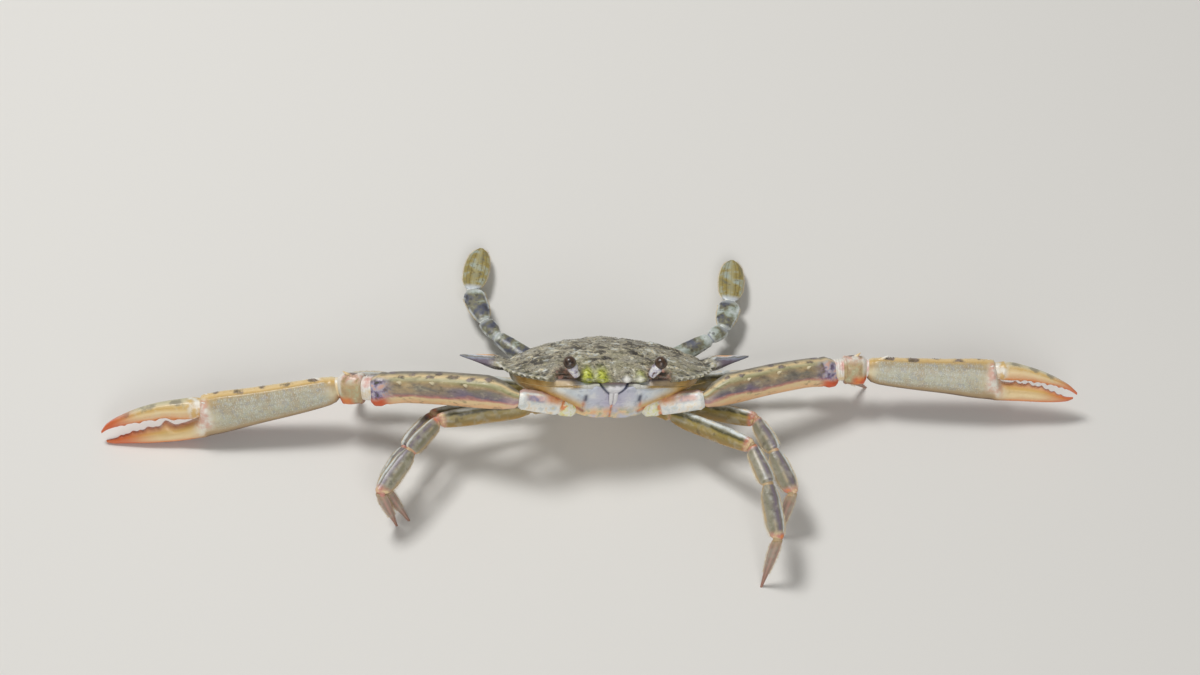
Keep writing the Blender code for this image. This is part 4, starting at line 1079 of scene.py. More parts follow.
class PaddleArmFinish(Finish):
    """Arm of the swimming leg: dark blue-grey and olive blotches with white edges."""

    def paint(self, p: Painter) -> None:
        """Paint the marbling."""
        p.start(p.noise(150.0, 4.0, 0.6), (0.34, Tint.SOOT), (0.44, Tint.SLATE), (0.52, Tint.GREY_OLIVE),
                (0.58, Tint.SAGE), (0.68, Tint.MIST))
        _, turn, _ = p.values("limb")
        rise = p.size(p.wave(turn, math.pi))
        p.lay(Tint.MIST, p.step(rise, 0.72, 0.95), p.step(p.noise(280.0), 0.36, 0.55), 0.8)
        p.lay(Tint.SOOT, p.specks(620.0, 0.18), 0.6)
        p.lay(Tint.MIST, p.value("joint"), 0.5)


class BladeFinish(Finish):
    """Oval swimming blade: olive gold with darker lengthwise veins and a pale rim."""

    def paint(self, p: Painter) -> None:
        """Paint the gold film, its veins and rim."""
        along, turn, _ = p.values("limb")
        rise = p.wave(turn, math.pi)
        p.start(p.noise(220.0, 4.0, 0.6), (0.36, Tint.GREY_OLIVE), (0.48, Tint.GOLD), (0.62, Tint.SAGE))
        p.lay(Tint.DARK_GOLD, p.step(p.size(p.wave(rise, 3.2 * math.pi)), 0.4, 0.05), 0.7)
        p.lay(Tint.PALE_OLIVE, p.step(p.size(rise), 0.3, 0.02), 0.5)
        p.lay(Tint.PALE_OLIVE, p.step(p.size(rise), 0.86, 0.98), 0.6)
        p.lay(Tint.DARK_GOLD, p.specks(700.0, 0.14), 0.5)
        p.lay(Tint.PALE_BLUE, p.step(along, 2.2, 0.4), 0.8)


class FeelerFinish(Finish):
    """Feelers: pale olive with soft rings."""

    def paint(self, p: Painter) -> None:
        """Paint the ringed whip."""
        along, _, _ = p.values("limb")
        p.skin = Tint.OLD_GOLD
        p.lay(Tint.GREY_OLIVE, p.step(p.size(p.wave(along, 14.0)), 0.2, 0.6), 0.4)
        p.lay(Tint.MIST, p.step(along, 2.6, 1.8), 0.7)


@dataclass(frozen=True)
class CloudFinish(Finish):
    """Soft clouds of a few colours: joint skins, eyes, their stalks and bristles."""

    scale: float = 260.0
    stops: tuple[tuple[float, Tint], ...] = ()

    def paint(self, p: Painter) -> None:
        """Paint the clouds."""
        p.start(p.noise(self.scale), *self.stops)


@dataclass
class Wardrobe:
    """Every finish of the crab, made once."""

    effects: SharedEffects = field(default_factory=SharedEffects.make)
    made: dict[str, bpy.types.Material] = field(default_factory=dict)

    def wear(self, finish: Finish) -> bpy.types.Material:
        """The material of a finish, made on first use."""
        if finish.name not in self.made:
            self.made[finish.name] = finish.build(self.effects)
        return self.made[finish.name]


SHELL = ShellFinish("granular_back", roughness=0.5, coat=0.15, grain=1300.0, grain_depth=0.8)
BELLY = BellyFinish("smooth_underside", roughness=0.38, coat=0.3, grain=900.0, grain_depth=0.25)
HIP = HipFinish("claw_root_cream", roughness=0.38, coat=0.3)
ARM = ArmFinish("banded_upper_arm", roughness=0.45, coat=0.18, grain=1500.0)
WRIST = WristFinish("olive_wrist", grain=1200.0, grain_depth=0.5)
PALM = PalmFinish("beaded_palm", grain=1100.0, grain_depth=0.5)
FINGER = FingerFinish("orange_finger", roughness=0.36, coat=0.35)
LEG = LegFinish("olive_purple_leg", coat=0.2)
TOE = ToeFinish("rose_toe", roughness=0.36, coat=0.35)
PADDLE_ARM = PaddleArmFinish("marbled_paddle_arm", coat=0.2)
BLADE = BladeFinish("golden_blade", roughness=0.4)
FEELER = FeelerFinish("ringed_feeler", roughness=0.4, coat=0.2)
CORNEA = CloudFinish("dark_cornea", roughness=0.3, coat=0.35, grain=5200.0, grain_depth=0.1, scale=900.0,
                     stops=((0.35, Tint.BLACK_BROWN), (0.7, Tint.BROWN)))
STALK = CloudFinish("lavender_stalk", roughness=0.35, coat=0.3, scale=900.0,
                    stops=((0.33, Tint.BROWN), (0.42, Tint.LAVENDER), (0.66, Tint.WHITE)))
JOINT = CloudFinish("folded_joint_skin", roughness=0.4,
                    stops=((0.34, Tint.PINK), (0.5, Tint.WHITE), (0.68, Tint.WARM_CREAM)))
LEG_JOINT = CloudFinish("leg_joint_skin", coat=0.2,
                        stops=((0.34, Tint.DEEP_TAN), (0.5, Tint.TAN), (0.68, Tint.ROSE)))
PADDLE_JOINT = CloudFinish("paddle_joint_skin", coat=0.2,
                           stops=((0.34, Tint.BLUE_GREY), (0.5, Tint.MIST), (0.68, Tint.WHITE)))
BRISTLE = CloudFinish("straw_bristle", roughness=0.6, coat=0.0, scale=900.0,
                      stops=((0.3, Tint.TAN), (0.7, Tint.CREAM)))


# ---------------------------------------------------------------- geometry nodes
class Sprouting(Graph):
    """Geometry Nodes tree that sets a small shape on many points and ends in real meshes."""

    def __init__(self, name: str, sizes: dict[str, float], seed: int) -> None:
        """Start the tree.

        Args:
            name: name of the tree and of its modifier.
            sizes: its named numbers.
            seed: picks one pattern of chance.
        """
        super().__init__(bpy.data.node_groups.new(name, "GeometryNodeTree"))
        self.sizes = {**sizes, "Seed": seed}
        face = self.tree.interface
        face.new_socket("Geometry", in_out="INPUT", socket_type="NodeSocketGeometry")
        for label, value in self.sizes.items():
            kind = "NodeSocketInt" if label == "Seed" else "NodeSocketFloat"
            face.new_socket(label, in_out="INPUT", socket_type=kind).default_value = value
        face.new_socket("Geometry", in_out="OUTPUT", socket_type="NodeSocketGeometry")
        self.ins = self.tree.nodes.new("NodeGroupInput").outputs

    def geo(self, kind: str, feeds: dict, **settings: object) -> Socket:
        """First output of a new geometry node."""
        return self.add("GeometryNode" + kind, feeds, **settings).outputs[0]

    def spread(self, points: Socket, shape: Socket, turned: Socket, least: Sequence[float],
               most: Sequence[float]) -> Socket:
        """Set a shape on points.

        Args:
            points: where the shapes stand.
            shape: mesh of one.
            turned: rotation of each.
            least: smallest scale on the three axes.
            most: largest scale on the three axes.

        Returns:
            The shapes as real meshes.
        """
        chance = {"Min": tuple(least), "Max": tuple(most), "Seed": self.ins["Seed"]}
        vary = self.add("FunctionNodeRandomValue", chance, data_type="FLOAT_VECTOR").outputs[0]
        feeds = {"Points": points, "Instance": shape, "Rotation": turned, "Scale": vary}
        return self.geo("RealizeInstances", {"Geometry": self.geo("InstanceOnPoints", feeds)})

    def close(self, geometry: Socket, material: bpy.types.Material) -> None:
        """End the tree with its material set."""
        dressed = self.add("GeometryNodeSetMaterial", {"Geometry": geometry})
        dressed.inputs["Material"].default_value = material
        self.tree.links.new(dressed.outputs[0], self.tree.nodes.new("NodeGroupOutput").inputs[0])

    def run(self, piece: bpy.types.Object) -> None:
        """Let the tree work on a piece, keep the result as its plain mesh and drop the modifier."""
        step = piece.modifiers.new(self.tree.name, "NODES")
        step.node_group = self.tree
        sockets = {item.name: item.identifier for item in self.tree.interface.items_tree
                   if item.in_out == "INPUT"}
        for label, value in self.sizes.items():
            step[sockets[label]] = value
        bpy.context.view_layer.update()
        graph = bpy.context.evaluated_depsgraph_get()
        mesh = bpy.data.meshes.new_from_object(
            piece.evaluated_get(graph), preserve_all_data_layers=True, depsgraph=graph
        )
        piece.modifiers.clear()
        old, piece.data = piece.data, mesh
        name = old.name
        bpy.data.meshes.remove(old)
        mesh.name = name


@dataclass(frozen=True)
class GranuleField:
    """Rounded granules scattered over a shell where its density value allows, in millimetres."""

    spacing: float
    radius: float
    seed: int
    density: float = 4.0e6
    uneven: float = 0.45

    def grow(self, piece: bpy.types.Object) -> None:
        """Scatter the granules over a piece and keep the result as its mesh."""
        sizes = {"Spacing": self.spacing * MM, "Radius": self.radius * MM, "Density": self.density}
        g = Sprouting("granules", sizes, self.seed)
        feeds = {
            "Mesh": g.ins["Geometry"],
            "Distance Min": g.ins["Spacing"],
            "Density Max": g.ins["Density"],
            "Density Factor": g.geo("InputNamedAttribute", {0: "grow"}, data_type="FLOAT"),
            "Seed": g.ins["Seed"],
        }
        points = g.add("GeometryNodeDistributePointsOnFaces", feeds, distribute_method="POISSON").outputs
        grain = g.geo("MeshIcoSphere", {"Radius": g.ins["Radius"], "Subdivisions": 1})
        smooth = g.geo("SetShadeSmooth", {"Geometry": grain})
        least, most = (1.0 - self.uneven,) * 3, (1.0 + self.uneven,) * 3
        real = g.spread(points["Points"], smooth, points["Rotation"], least, most)
        beads = g.geo("StoreNamedAttribute", {"Geometry": real, "Name": "bead", "Value": 1.0})
        whole = g.add("GeometryNodeJoinGeometry")
        for part in (beads, g.ins["Geometry"]):
            g.tree.links.new(part, whole.inputs[0])
        g.close(whole.outputs[0], piece.data.materials[0])
        g.run(piece)


@dataclass(frozen=True)
class Fringe:
    """Short stiff bristles in two staggered rows along both edges of limb pieces, in millimetres."""

    length: float = 0.7
    radius: float = 0.035
    spacing: float = 0.12
    stagger: float = 5.0
    lean: float = 0.7
    patch: float = 0.003
    seed: int = 41

    def roots(self, limbs: Sequence[Limb], begin: float, margins: dict[int, float]) -> dict[str, Array]:
        """Place the bristles.

        Args:
            limbs: the pieces of the limb.
            begin: where the fringe begins on a piece.
            margins: how far from its end it stops, by the piece's number.

        Returns:
            Roots, directions and places on the unwrapped limbs, by name.
        """
        edges = [(limbs[k], turn, limbs[k].stations[-1, 0], margin)
                 for k, margin in margins.items() for turn in (90.0, -90.0)]
        rows = []
        for rank, (limb, turn, length, margin) in enumerate(edges):
            for row, shift in enumerate((-self.stagger, self.stagger)):
                for place in np.arange(begin + row * self.spacing / 2, length - margin, self.spacing):
                    root = limb.at(place, turn + shift, 0.97)
                    aim = unit(limb.out(turn + 2.0 * shift) + limb.way * self.lean)
                    across = (rank + 0.5 + (turn + shift) / 400.0) / len(edges)
                    rows.append((*root, *aim, 0.02 + 0.96 * place / length, across, 0.0))
        table = np.array(rows)
        return {"root": table[:, :3], "aim": table[:, 3:6], "bake": table[:, 6:]}

    def tree(self, material: bpy.types.Material) -> Sprouting:
        """Build the tree that sets a tapered bristle on every root."""
        g = Sprouting("fringe", {"Length": self.length * MM, "Radius": self.radius * MM}, self.seed)
        length, radius = g.ins["Length"], g.ins["Radius"]
        cone = g.geo("MeshCone", {"Vertices": 3, "Radius Top": 0.0, "Radius Bottom": radius, "Depth": length})
        extent = g.add("ShaderNodeCombineXYZ", {0: radius, 1: radius, 2: length}).outputs[0]
        share = g.add("ShaderNodeVectorMath", {0: g.geo("InputPosition", {}), 1: extent},
                      operation="DIVIDE").outputs[0]
        tuft = g.geo("StoreNamedAttribute", {"Geometry": cone, "Name": "tuft", "Value": share},
                     data_type="FLOAT_VECTOR")
        aim = g.geo("InputNamedAttribute", {0: "aim"}, data_type="FLOAT_VECTOR")
        turned = g.add("FunctionNodeAlignRotationToVector", {"Vector": aim}, axis="Z").outputs[0]
        g.close(g.spread(g.ins["Geometry"], tuft, turned, (0.8, 0.8, 0.6), (1.2, 1.2, 1.15)), material)
        return g

    def grow(self, name: str, table: dict[str, Array], material: bpy.types.Material) -> bpy.types.Object:
        """Grow the fringe as a plain mesh with its OFBake map.

        Args:
            name: the piece's name.
            table: roots, directions and places on the unwrapped limbs.
            material: finish of the bristles.

        Returns:
            The piece.
        """
        mesh = bpy.data.meshes.new(name)
        mesh.from_pydata(table["root"].tolist(), [], [])
        for label in ("aim", "bake"):
            layer = mesh.attributes.new(label, "FLOAT_VECTOR", "POINT")
            layer.data.foreach_set("vector", table[label].ravel())
        piece = bpy.data.objects.new(name, mesh)
        bpy.context.scene.collection.objects.link(piece)
        self.tree(material).run(piece)
        self.unwrap(piece.data)
        return piece

    def unwrap(self, mesh: bpy.types.Mesh) -> None:
        """Give each bristle its own small patch at its root's place on the unwrapped limbs."""
        values = {}
        for label in ("bake", "tuft"):
            flat = np.empty(len(mesh.vertices) * 3)
            mesh.attributes[label].data.foreach_get("vector", flat)
            values[label] = flat.reshape(-1, 3)
        tuft = values["tuft"]
        offset = np.stack([tuft[:, 0], 2.0 * tuft[:, 2] - 1.0], axis=1)
        place = values["bake"][:, :2] + self.patch / 2.0 * offset
        corners = np.empty(len(mesh.loops), dtype=np.int64)
        mesh.loops.foreach_get("vertex_index", corners)
        mesh.uv_layers.new(name="OFBake").data.foreach_set("uv", place[corners].ravel())


# ---------------------------------------------------------------- the crab's parts
@dataclass
class Workshop:
    """What every sub-assembly shares: the stance, the finishes and the list of finished pieces."""

    stance: Stance
    wardrobe: Wardrobe
    pieces: list[bpy.types.Object] = field(default_factory=list)

    def finish(self, skin: Skin, name: str, look: Finish, slot: Slot, node: str = "",
               beads: Optional[GranuleField] = None) -> None:
        """Turn a skin into a finished piece.

        Args:
            skin: the closed skin.
            name: the piece's name.
            look: its finish.
            slot: the record's slot of that finish; not used.
            node: solid that the piece stands for, if any.
            beads: granules to grow on it.
        """
        piece = skin.as_object(name, self.wardrobe.wear(look))
        if beads:
            beads.grow(piece)
        self.hand_over(piece, node)

    def fringe(self, name: str, limbs: Sequence[Limb], begin: float, margins: dict[int, float],
               slot: Slot) -> None:
        """Grow bristles along the edges of some pieces, from a place to a margin before their ends."""
        bristles = Fringe()
        table = bristles.roots(limbs, begin, margins)
        self.hand_over(bristles.grow(name, table, self.wardrobe.wear(BRISTLE)))

    def hand_over(self, piece: bpy.types.Object, node: str = "") -> None:
        """Hang a finished piece on the root, hide the solid that it stands for, keep it in the list and log its
        faces.
        """
        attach(piece, "root")
        if node:
            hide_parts(node)
        self.pieces.append(piece)
        LOG.info("%s: %d faces", piece.name, len(piece.data.polygons))


def humps(x: Array, y: Array, rows: Sequence[Sequence[float]]) -> Array:
    """Sum of rounded humps at places (x, y), each given by height, middle x and y, and radius in x and y."""
    total = 0.0 * x
    for height, middle_x, middle_y, radius_x, radius_y in rows:
        total = total + height * bell(np.hypot((x - middle_x) / radius_x, (y - middle_y) / radius_y))
    return total


def band(x: Array, y: Array, path: Table, width: float) -> Array:
    """Bell across a broken line, at places (x, y)."""
    flat = np.stack([x.ravel(), y.ravel()], axis=1)
    return bell(off_path(flat, path) / width).reshape(x.shape)


def both_sides(half: Sequence[Sequence[float]]) -> Array:
    """Closed loop from its half on the +x side, which starts and ends on the midline."""
    half = list(half)
    return np.array(half + [(-x, y) for x, y in reversed(half[1:-1])])


@dataclass
class Shield:
    """Broad toothed shield of the back with a long spine on either side."""

    shop: Workshop
    half_width: float = 40.0
    dome_height: float = 6.0
    dome_power: float = 2.3
    centre_y: float = 1.5
    rear_droop: float = 2.2
    thickness: float = 0.8
    underside: float = -3.0
    spine_rise: float = 2.4
    spine_power: float = 1.5
    outline: Table = (
        (0.0, -13.6), (6.0, -13.8), (12.0, -13.2), (18.0, -12.2), (23.0, -9.0), (27.0, -4.0),
        (28.3, 0.0), (25.5, 5.0), (20.0, 11.0), (14.5, 16.2), (9.0, 18.8), (0.0, 19.5),
    )
    front_edge: Table = (
        (0.0, -14.5), (0.9, -15.4), (1.9, -14.6), (3.4, -16.0), (5.0, -14.3), (7.4, -15.3), (9.0, -13.6),
        (9.9, -11.9), (11.6, -11.1), (13.4, -11.0), (15.2, -11.3), (16.8, -12.6), (18.3, -15.0),
    )
    teeth: int = 7
    teeth_start: tuple[float, float] = (19.3, -12.4)
    teeth_end: tuple[float, float] = (28.6, -3.0)
    teeth_bulge: float = 1.5
    tooth_reach: float = 1.5
    tooth_lean: float = 0.7
    spine_edge: Table = ((33.6, -1.5), (40.0, 0.4), (33.4, 0.9), (28.4, 1.8))
    # swellings of the back and lobes of the brow: height, middle (distance from the midline, y) and radii
    swellings: Table = (
        (0.55, 0.0, -4.0, 7.5, 5.5), (0.45, 0.0, 9.5, 4.5, 4.0), (0.5, 16.0, 4.5, 8.0, 6.0),
        (0.28, 4.6, -10.5, 3.0, 2.2), (-0.5, 12.4, -10.8, 2.4, 1.6),
    )
    brow_lobes: Table = (
        (0.75, 3.4, -14.2, 1.35, 1.9), (0.7, 7.3, -13.7, 1.35, 1.9), (-0.3, 5.3, -14.0, 0.4, 1.6),
        (-0.25, 0.0, -14.0, 0.4, 1.8),
    )
    # grooves and crests of the back: height, width and path
    folds: tuple[tuple[float, float, Table], ...] = (
        (-0.42, 0.75, ((3.2, 3.5), (4.6, 1.0), (4.2, -1.5), (8.0, -3.2), (11.0, -7.0), (13.5, -9.0))),
        (-0.34, 0.8, ((3.2, 3.5), (4.2, 6.5), (6.0, 9.5), (8.5, 12.5))),
        (-0.30, 0.6, ((0.0, -8.0), (0.0, -14.0))),
        (0.55, 0.50, ((27.8, 0.6), (22.0, -0.9), (16.0, -0.2), (12.5, 1.6))),
        (0.42, 0.42, ((10.0, -5.3), (6.0, -6.4), (2.6, -5.6))),
        (0.22, 0.42, ((5.8, 0.3), (2.5, 1.4), (0.0, 1.7))),
        (0.22, 0.55, ((21.0, 8.0), (16.0, 9.5), (12.0, 12.5))),
    )
    # soft waves of the back: height, seed and length
    ripples: tuple[tuple[float, int, float], ...] = ((0.16, 5, 7.0), (0.09, 6, 2.6))
    # painted patches of the brow, with x on both sides: share, middle and radii
    green_lobes: Table = ((1.0, -7.2, -13.6, 1.35, 2.1), (1.0, -3.2, -14.0, 1.5, 2.3),
                          (0.35, 7.4, -13.6, 1.5, 1.6))
    pale_tips: Table = (
        (1.0, 3.6, -15.6, 1.6, 1.1), (0.9, 7.4, -15.0, 1.3, 0.9), (0.8, -3.4, -16.0, 1.2, 0.6),
        (0.8, -7.4, -15.4, 1.2, 0.6),
    )
    # dark brown round the eyes: partly own brown, partly painted shade of the eye hollows
    eye_hollows: Table = ((1.0, 12.4, -11.8, 2.5, 1.5), (0.4, 14.8, -11.6, 1.6, 0.8))
    columns: int = 760
    rows: int = 54
    rim_rows: int = 12

    def side_teeth(self) -> list[tuple[float, float]]:
        """Valley and tip of every small tooth between the eye tooth and the long spine."""
        start, end = np.array(self.teeth_start), np.array(self.teeth_end)
        way = unit(end - start)
        out = np.array((way[1], -way[0]))
        points = []
        for i in range(self.teeth):
            for share, reach in ((0.0, 0.0), (0.42, self.tooth_reach)):
                t = (i + share) / self.teeth
                spot = start + (end - start) * t + out * (self.teeth_bulge * 4.0 * t * (1.0 - t) + reach)
                points.append(tuple(spot - way * reach * self.tooth_lean))
        return points + [self.teeth_end]

    def margin(self) -> Array:
        """Toothed margin, front middle round by +x, evenly sampled, with rounded corners."""
        half = list(self.front_edge) + self.side_teeth() + list(self.spine_edge) + list(self.outline[7:])
        fine = by_length(both_sides(half), 2400)
        perimeter = np.linalg.norm(np.diff(np.vstack([fine, fine[:1]]), axis=0), axis=1).sum()
        return by_length(softened(fine, 0.22 / (perimeter / 2400)), self.columns)

    def plain_radius(self, angle: Array) -> Array:
        """Distance from the dome's middle to the plain outline at each angle."""
        fine = closed_curve(both_sides(self.outline), 1440) - (0.0, self.centre_y)
        bearing = np.arctan2(fine[:, 1], fine[:, 0])
        order = np.argsort(bearing)
        return np.interp(angle, bearing[order], np.hypot(fine[order, 0], fine[order, 1]), period=2.0 * np.pi)

    def droop(self, y: Array) -> Array:
        """Fall of the shield toward its rear edge."""
        return -self.rear_droop * (np.maximum(y, 0.0) / self.outline[-1][1]) ** 2

    def lift(self, x: Array) -> Array:
        """Rise of the long side spines toward their tips."""
        root = self.teeth_end[0]
        share = np.maximum(np.abs(x) - root, 0.0) / (self.half_width - root)
        return self.spine_rise * share**self.spine_power

    def relief(self, x: Array, y: Array) -> Array:
        """Swellings, grooves and crests of the back, in millimetres."""
        height = humps(np.abs(x), y, self.swellings)
        for rise, width, path in self.folds:
            height += rise * band(np.abs(x), y, path, width)
        places = np.stack([x.ravel(), y.ravel(), 0.0 * x.ravel()], axis=1)
        for rise, seed, scale in self.ripples:
            height = height + rise * ripple(places, seed, scale).reshape(x.shape)
        return height

    def build(self) -> None:
        """Build the shield with its granules."""
        margin = self.margin()
        centre = np.array((0.0, self.centre_y))
        arms = margin - centre
        count = self.columns
        angle = np.unwrap(np.arctan2(arms[:, 1], arms[:, 0]))
        trend = angle[0] + (2.0 * np.pi if angle[-1] > angle[0] else -2.0 * np.pi) * np.arange(count) / count
        step = np.linalg.norm(np.diff(margin, axis=0), axis=1).mean()
        angle = trend + softened((angle - trend)[:, None], 2.2 / step)[:, 0]
        plain = self.plain_radius(angle)
        ray = np.stack([np.cos(angle), np.sin(angle)], axis=1)

        inner_share = 0.93
        shares = inner_share * np.linspace(0.03, 1.0, self.rows) ** 0.8
        inner = centre + ray[None] * (plain[None, :] * shares[:, None])[..., None]
        x, y = inner[..., 0], inner[..., 1]
        calm = smoothstep(0.0, 0.25, shares)[:, None] * (1.0 - smoothstep(0.86, 0.95, shares))[:, None]
        z = self.dome_height * (1.0 - shares[:, None] ** self.dome_power) + self.droop(y)
        z = z + self.relief(x, y) * (0.35 + 0.65 * calm) + self.lobes(x, y)
        top = np.concatenate([inner, z[..., None]], axis=-1)

        out = np.linspace(0.0, 1.0, self.rim_rows + 1)[1:]
        rim = inner[-1][None] * (1.0 - out)[:, None, None] + margin[None] * out[:, None, None]
        edge_z = self.droop(margin[:, 1]) + self.lift(margin[:, 0])
        blend = (out * (2.0 - out))[:, None]
        rim_z = z[-1][None] * (1.0 - blend) + edge_z[None] * blend
        fat = self.spine_bulge(rim[..., 0], rim[..., 1])
        lobes = self.lobes(rim[..., 0], rim[..., 1]) * (1.0 - 0.6 * out**3)[:, None]
        rim_top = np.concatenate([rim, (rim_z + fat + lobes)[..., None]], axis=-1)

        under = []
        for share, level in ((1.0, 0.0), (0.75, 0.05), (0.5, 0.12), (0.25, 0.3), (0.0, 0.5)):
            flat = inner[-1] * (1.0 - share) + margin * share
            low = edge_z - self.thickness * (1.0 - 0.6 * (share > 0.99)) - 2.2 * level
            low = low - self.spine_bulge(flat[:, 0], flat[:, 1]) * (share < 0.999)
            under.append(np.concatenate([flat, low[:, None]], axis=-1))
        for share, low in ((0.86, -2.4), (0.78, self.underside)):
            flat = centre + ray * (plain * share)[:, None]
            under.append(np.concatenate([flat, np.full((count, 1), low)], axis=-1))
        rings = np.concatenate([top, rim_top, np.array(under)])
        rows = len(rings)

        edge = np.zeros((rows, count))
        edge[self.rows : self.rows + self.rim_rows] = smoothstep(0.55, 1.0, out)[:, None]
        ridge = np.zeros((rows, count))
        ridge[:] = 0.5 + 0.5 * np.clip((rings[..., 1] - self.spine_line(rings[..., 0])) / 0.9, -1.0, 1.0)
        ridge[self.rows + self.rim_rows :] = 0.1
        values = {
            "body": rings,
            "edge": edge,
            "ridge": ridge,
            "mark": self.marks(rings),
            **self.brow(rings),
            "grow": self.growth(rings, rows),
        }
        skin = lofted(self.shop.stance.place(rings), values, (0.0, 0.0))
        beads = GranuleField(spacing=0.42, radius=0.15, seed=11)
        self.shop.finish(skin, "carapace_shield", SHELL, Slot.SHELL, "carapace", beads)

    def spine_line(self, x: Array) -> Array:
        """Middle line of the long spine from front to rear, across the body."""
        return np.interp(np.abs(x), (28.5, 33.5, 40.0), (-0.6, -0.3, 0.4))

    def spine_bulge(self, x: Array, y: Array) -> Array:
        """Half thickness that rounds the long spine, in millimetres."""
        half = np.interp(np.abs(x), (26.0, 28.5, 33.5, 39.0, 40.0), (3.0, 2.4, 1.2, 0.3, 0.05))
        inside = np.clip(1.0 - ((y - self.spine_line(x)) / half) ** 2, 0.0, 1.0)
        return 0.42 * half * np.sqrt(inside) * smoothstep(26.5, 31.0, np.abs(x))

    def lobes(self, x: Array, y: Array) -> Array:
        """Rounded lobes of the brow over its teeth, in millimetres."""
        return humps(np.abs(x), y, self.brow_lobes)

    def brow(self, rings: Array) -> dict[str, Array]:
        """Green lobes on the right of the brow, white tips of its teeth and dark brown round the eyes, partly
        own brown and partly painted shade of the eye hollows.
        """
        x, y, z = np.moveaxis(rings, -1, 0)
        above = smoothstep(-2.2, -1.4, z)
        masks = {
            "leaf": 1.5 * humps(x, y, self.green_lobes),
            "tips": 1.4 * humps(x, y, self.pale_tips),
            "hollow": 0.95 * humps(np.abs(x), y, self.eye_hollows),
        }
        return {name: np.clip(mask * above, 0.0, 1.0) for name, mask in masks.items()}

    def marks(self, rings: Array) -> Array:
        """Dark dots in the notches between the side teeth."""
        points = np.array(self.side_teeth()[::2])
        x, y = np.abs(rings[..., 0]), rings[..., 1]
        mark = np.zeros(x.shape)
        for px, py in points:
            mark = np.maximum(mark, bell(np.hypot(x - px + 0.5, y - py - 0.4) / 0.5))
        return mark * (rings[..., 2] > -1.2)

    def growth(self, rings: Array, rows: int) -> Array:
        """How thickly granules grow: on the back's swellings and crests, not below the rim."""
        x, y = rings[..., 0], rings[..., 1]
        raised = smoothstep(-0.25, 0.45, self.relief(x, y))
        patch = 0.35 + 0.65 * smoothstep(-0.6, 0.5, ripple(rings.reshape(-1, 3), 9, 9.0)).reshape(x.shape)
        above = (np.arange(rows) < self.rows + self.rim_rows)[:, None]
        return (0.12 + 0.88 * raised * patch) * above * (1.0 - smoothstep(30.0, 33.0, np.abs(x)))


class FacePlan:
    """Slope of the mouth's front and the painted bands that run over trunk and mouth plates; the band under the
    shield's rim is partly painted shade.
    """

    # corners (distance from the midline, height) and half width of each band
    seam = (((4.2, -1.0), (3.4, -2.0), (2.1, -3.4), (1.2, -4.2)), 0.28)
    dimple = (((7.35, -5.0), (7.3, -6.2)), 0.55)
    strip = (((29.0, -3.0), (20.5, -4.2), (14.0, -5.9), (8.8, -8.4)), 1.5)
    crease = (((22.0, -5.4), (14.0, -7.4), (9.5, -8.9), (7.6, -9.9)), 0.55)
    cleft = (((0.0, -8.0), (0.0, -12.5)), 0.32)

    @staticmethod
    def slope(z: Array) -> Array:
        """How far forward the mouth stands at a height, in millimetres."""
        return -9.8 - 4.7 * (z + 11.5) / 8.2

    @classmethod
    def paint(cls, points: Array) -> dict[str, Array]:
        """Masks of the bands at body points, by name."""
        x, y, z = np.moveaxis(points, -1, 0)
        a = np.abs(x)
        seam, dimple, strip, crease, cleft = (
            band(a, z, *plan) for plan in (cls.seam, cls.dimple, cls.strip, cls.crease, cls.cleft)
        )
        ahead = smoothstep(-2.0, -6.0, y)
        gold = np.maximum(strip, smoothstep(13.0, 19.5, a) * smoothstep(-0.5, -1.6, z))
        gold = np.maximum(gold, 0.7 * smoothstep(8.0, 11.5, a) * smoothstep(-3.4, -2.4, z)) * ahead
        rust = np.maximum(np.maximum(crease, cleft), humps(a, z, ((0.8, 7.7, -7.6, 0.5, 1.2),))) * ahead
        peach = 0.45 * smoothstep(-1.9, -1.2, z) * smoothstep(7.0, 5.0, a) * ahead
        opening = np.interp(z, (-4.6, -4.2, -3.4, -2.0, -1.0), (0.0, 1.1, 2.0, 3.3, 4.1))
        labrum = smoothstep(0.0, 0.9, opening - a) * smoothstep(-1.6, -2.3, z)
        dark = np.maximum(1.3 * seam, 0.9 * dimple)
        # band just under the shield's rim: partly dark skin, partly painted shade of the overhanging rim
        dark = np.maximum(dark, 0.75 * smoothstep(-1.5, -1.0, z) * smoothstep(6.5, 8.5, a)) * ahead
        masks = {"blush": 0.95 * gold, "rust": 0.85 * rust + peach, "pale": 0.5 * labrum, "mark": dark}
        return {name: np.clip(mask, 0.0, 1.0) for name, mask in masks.items()}


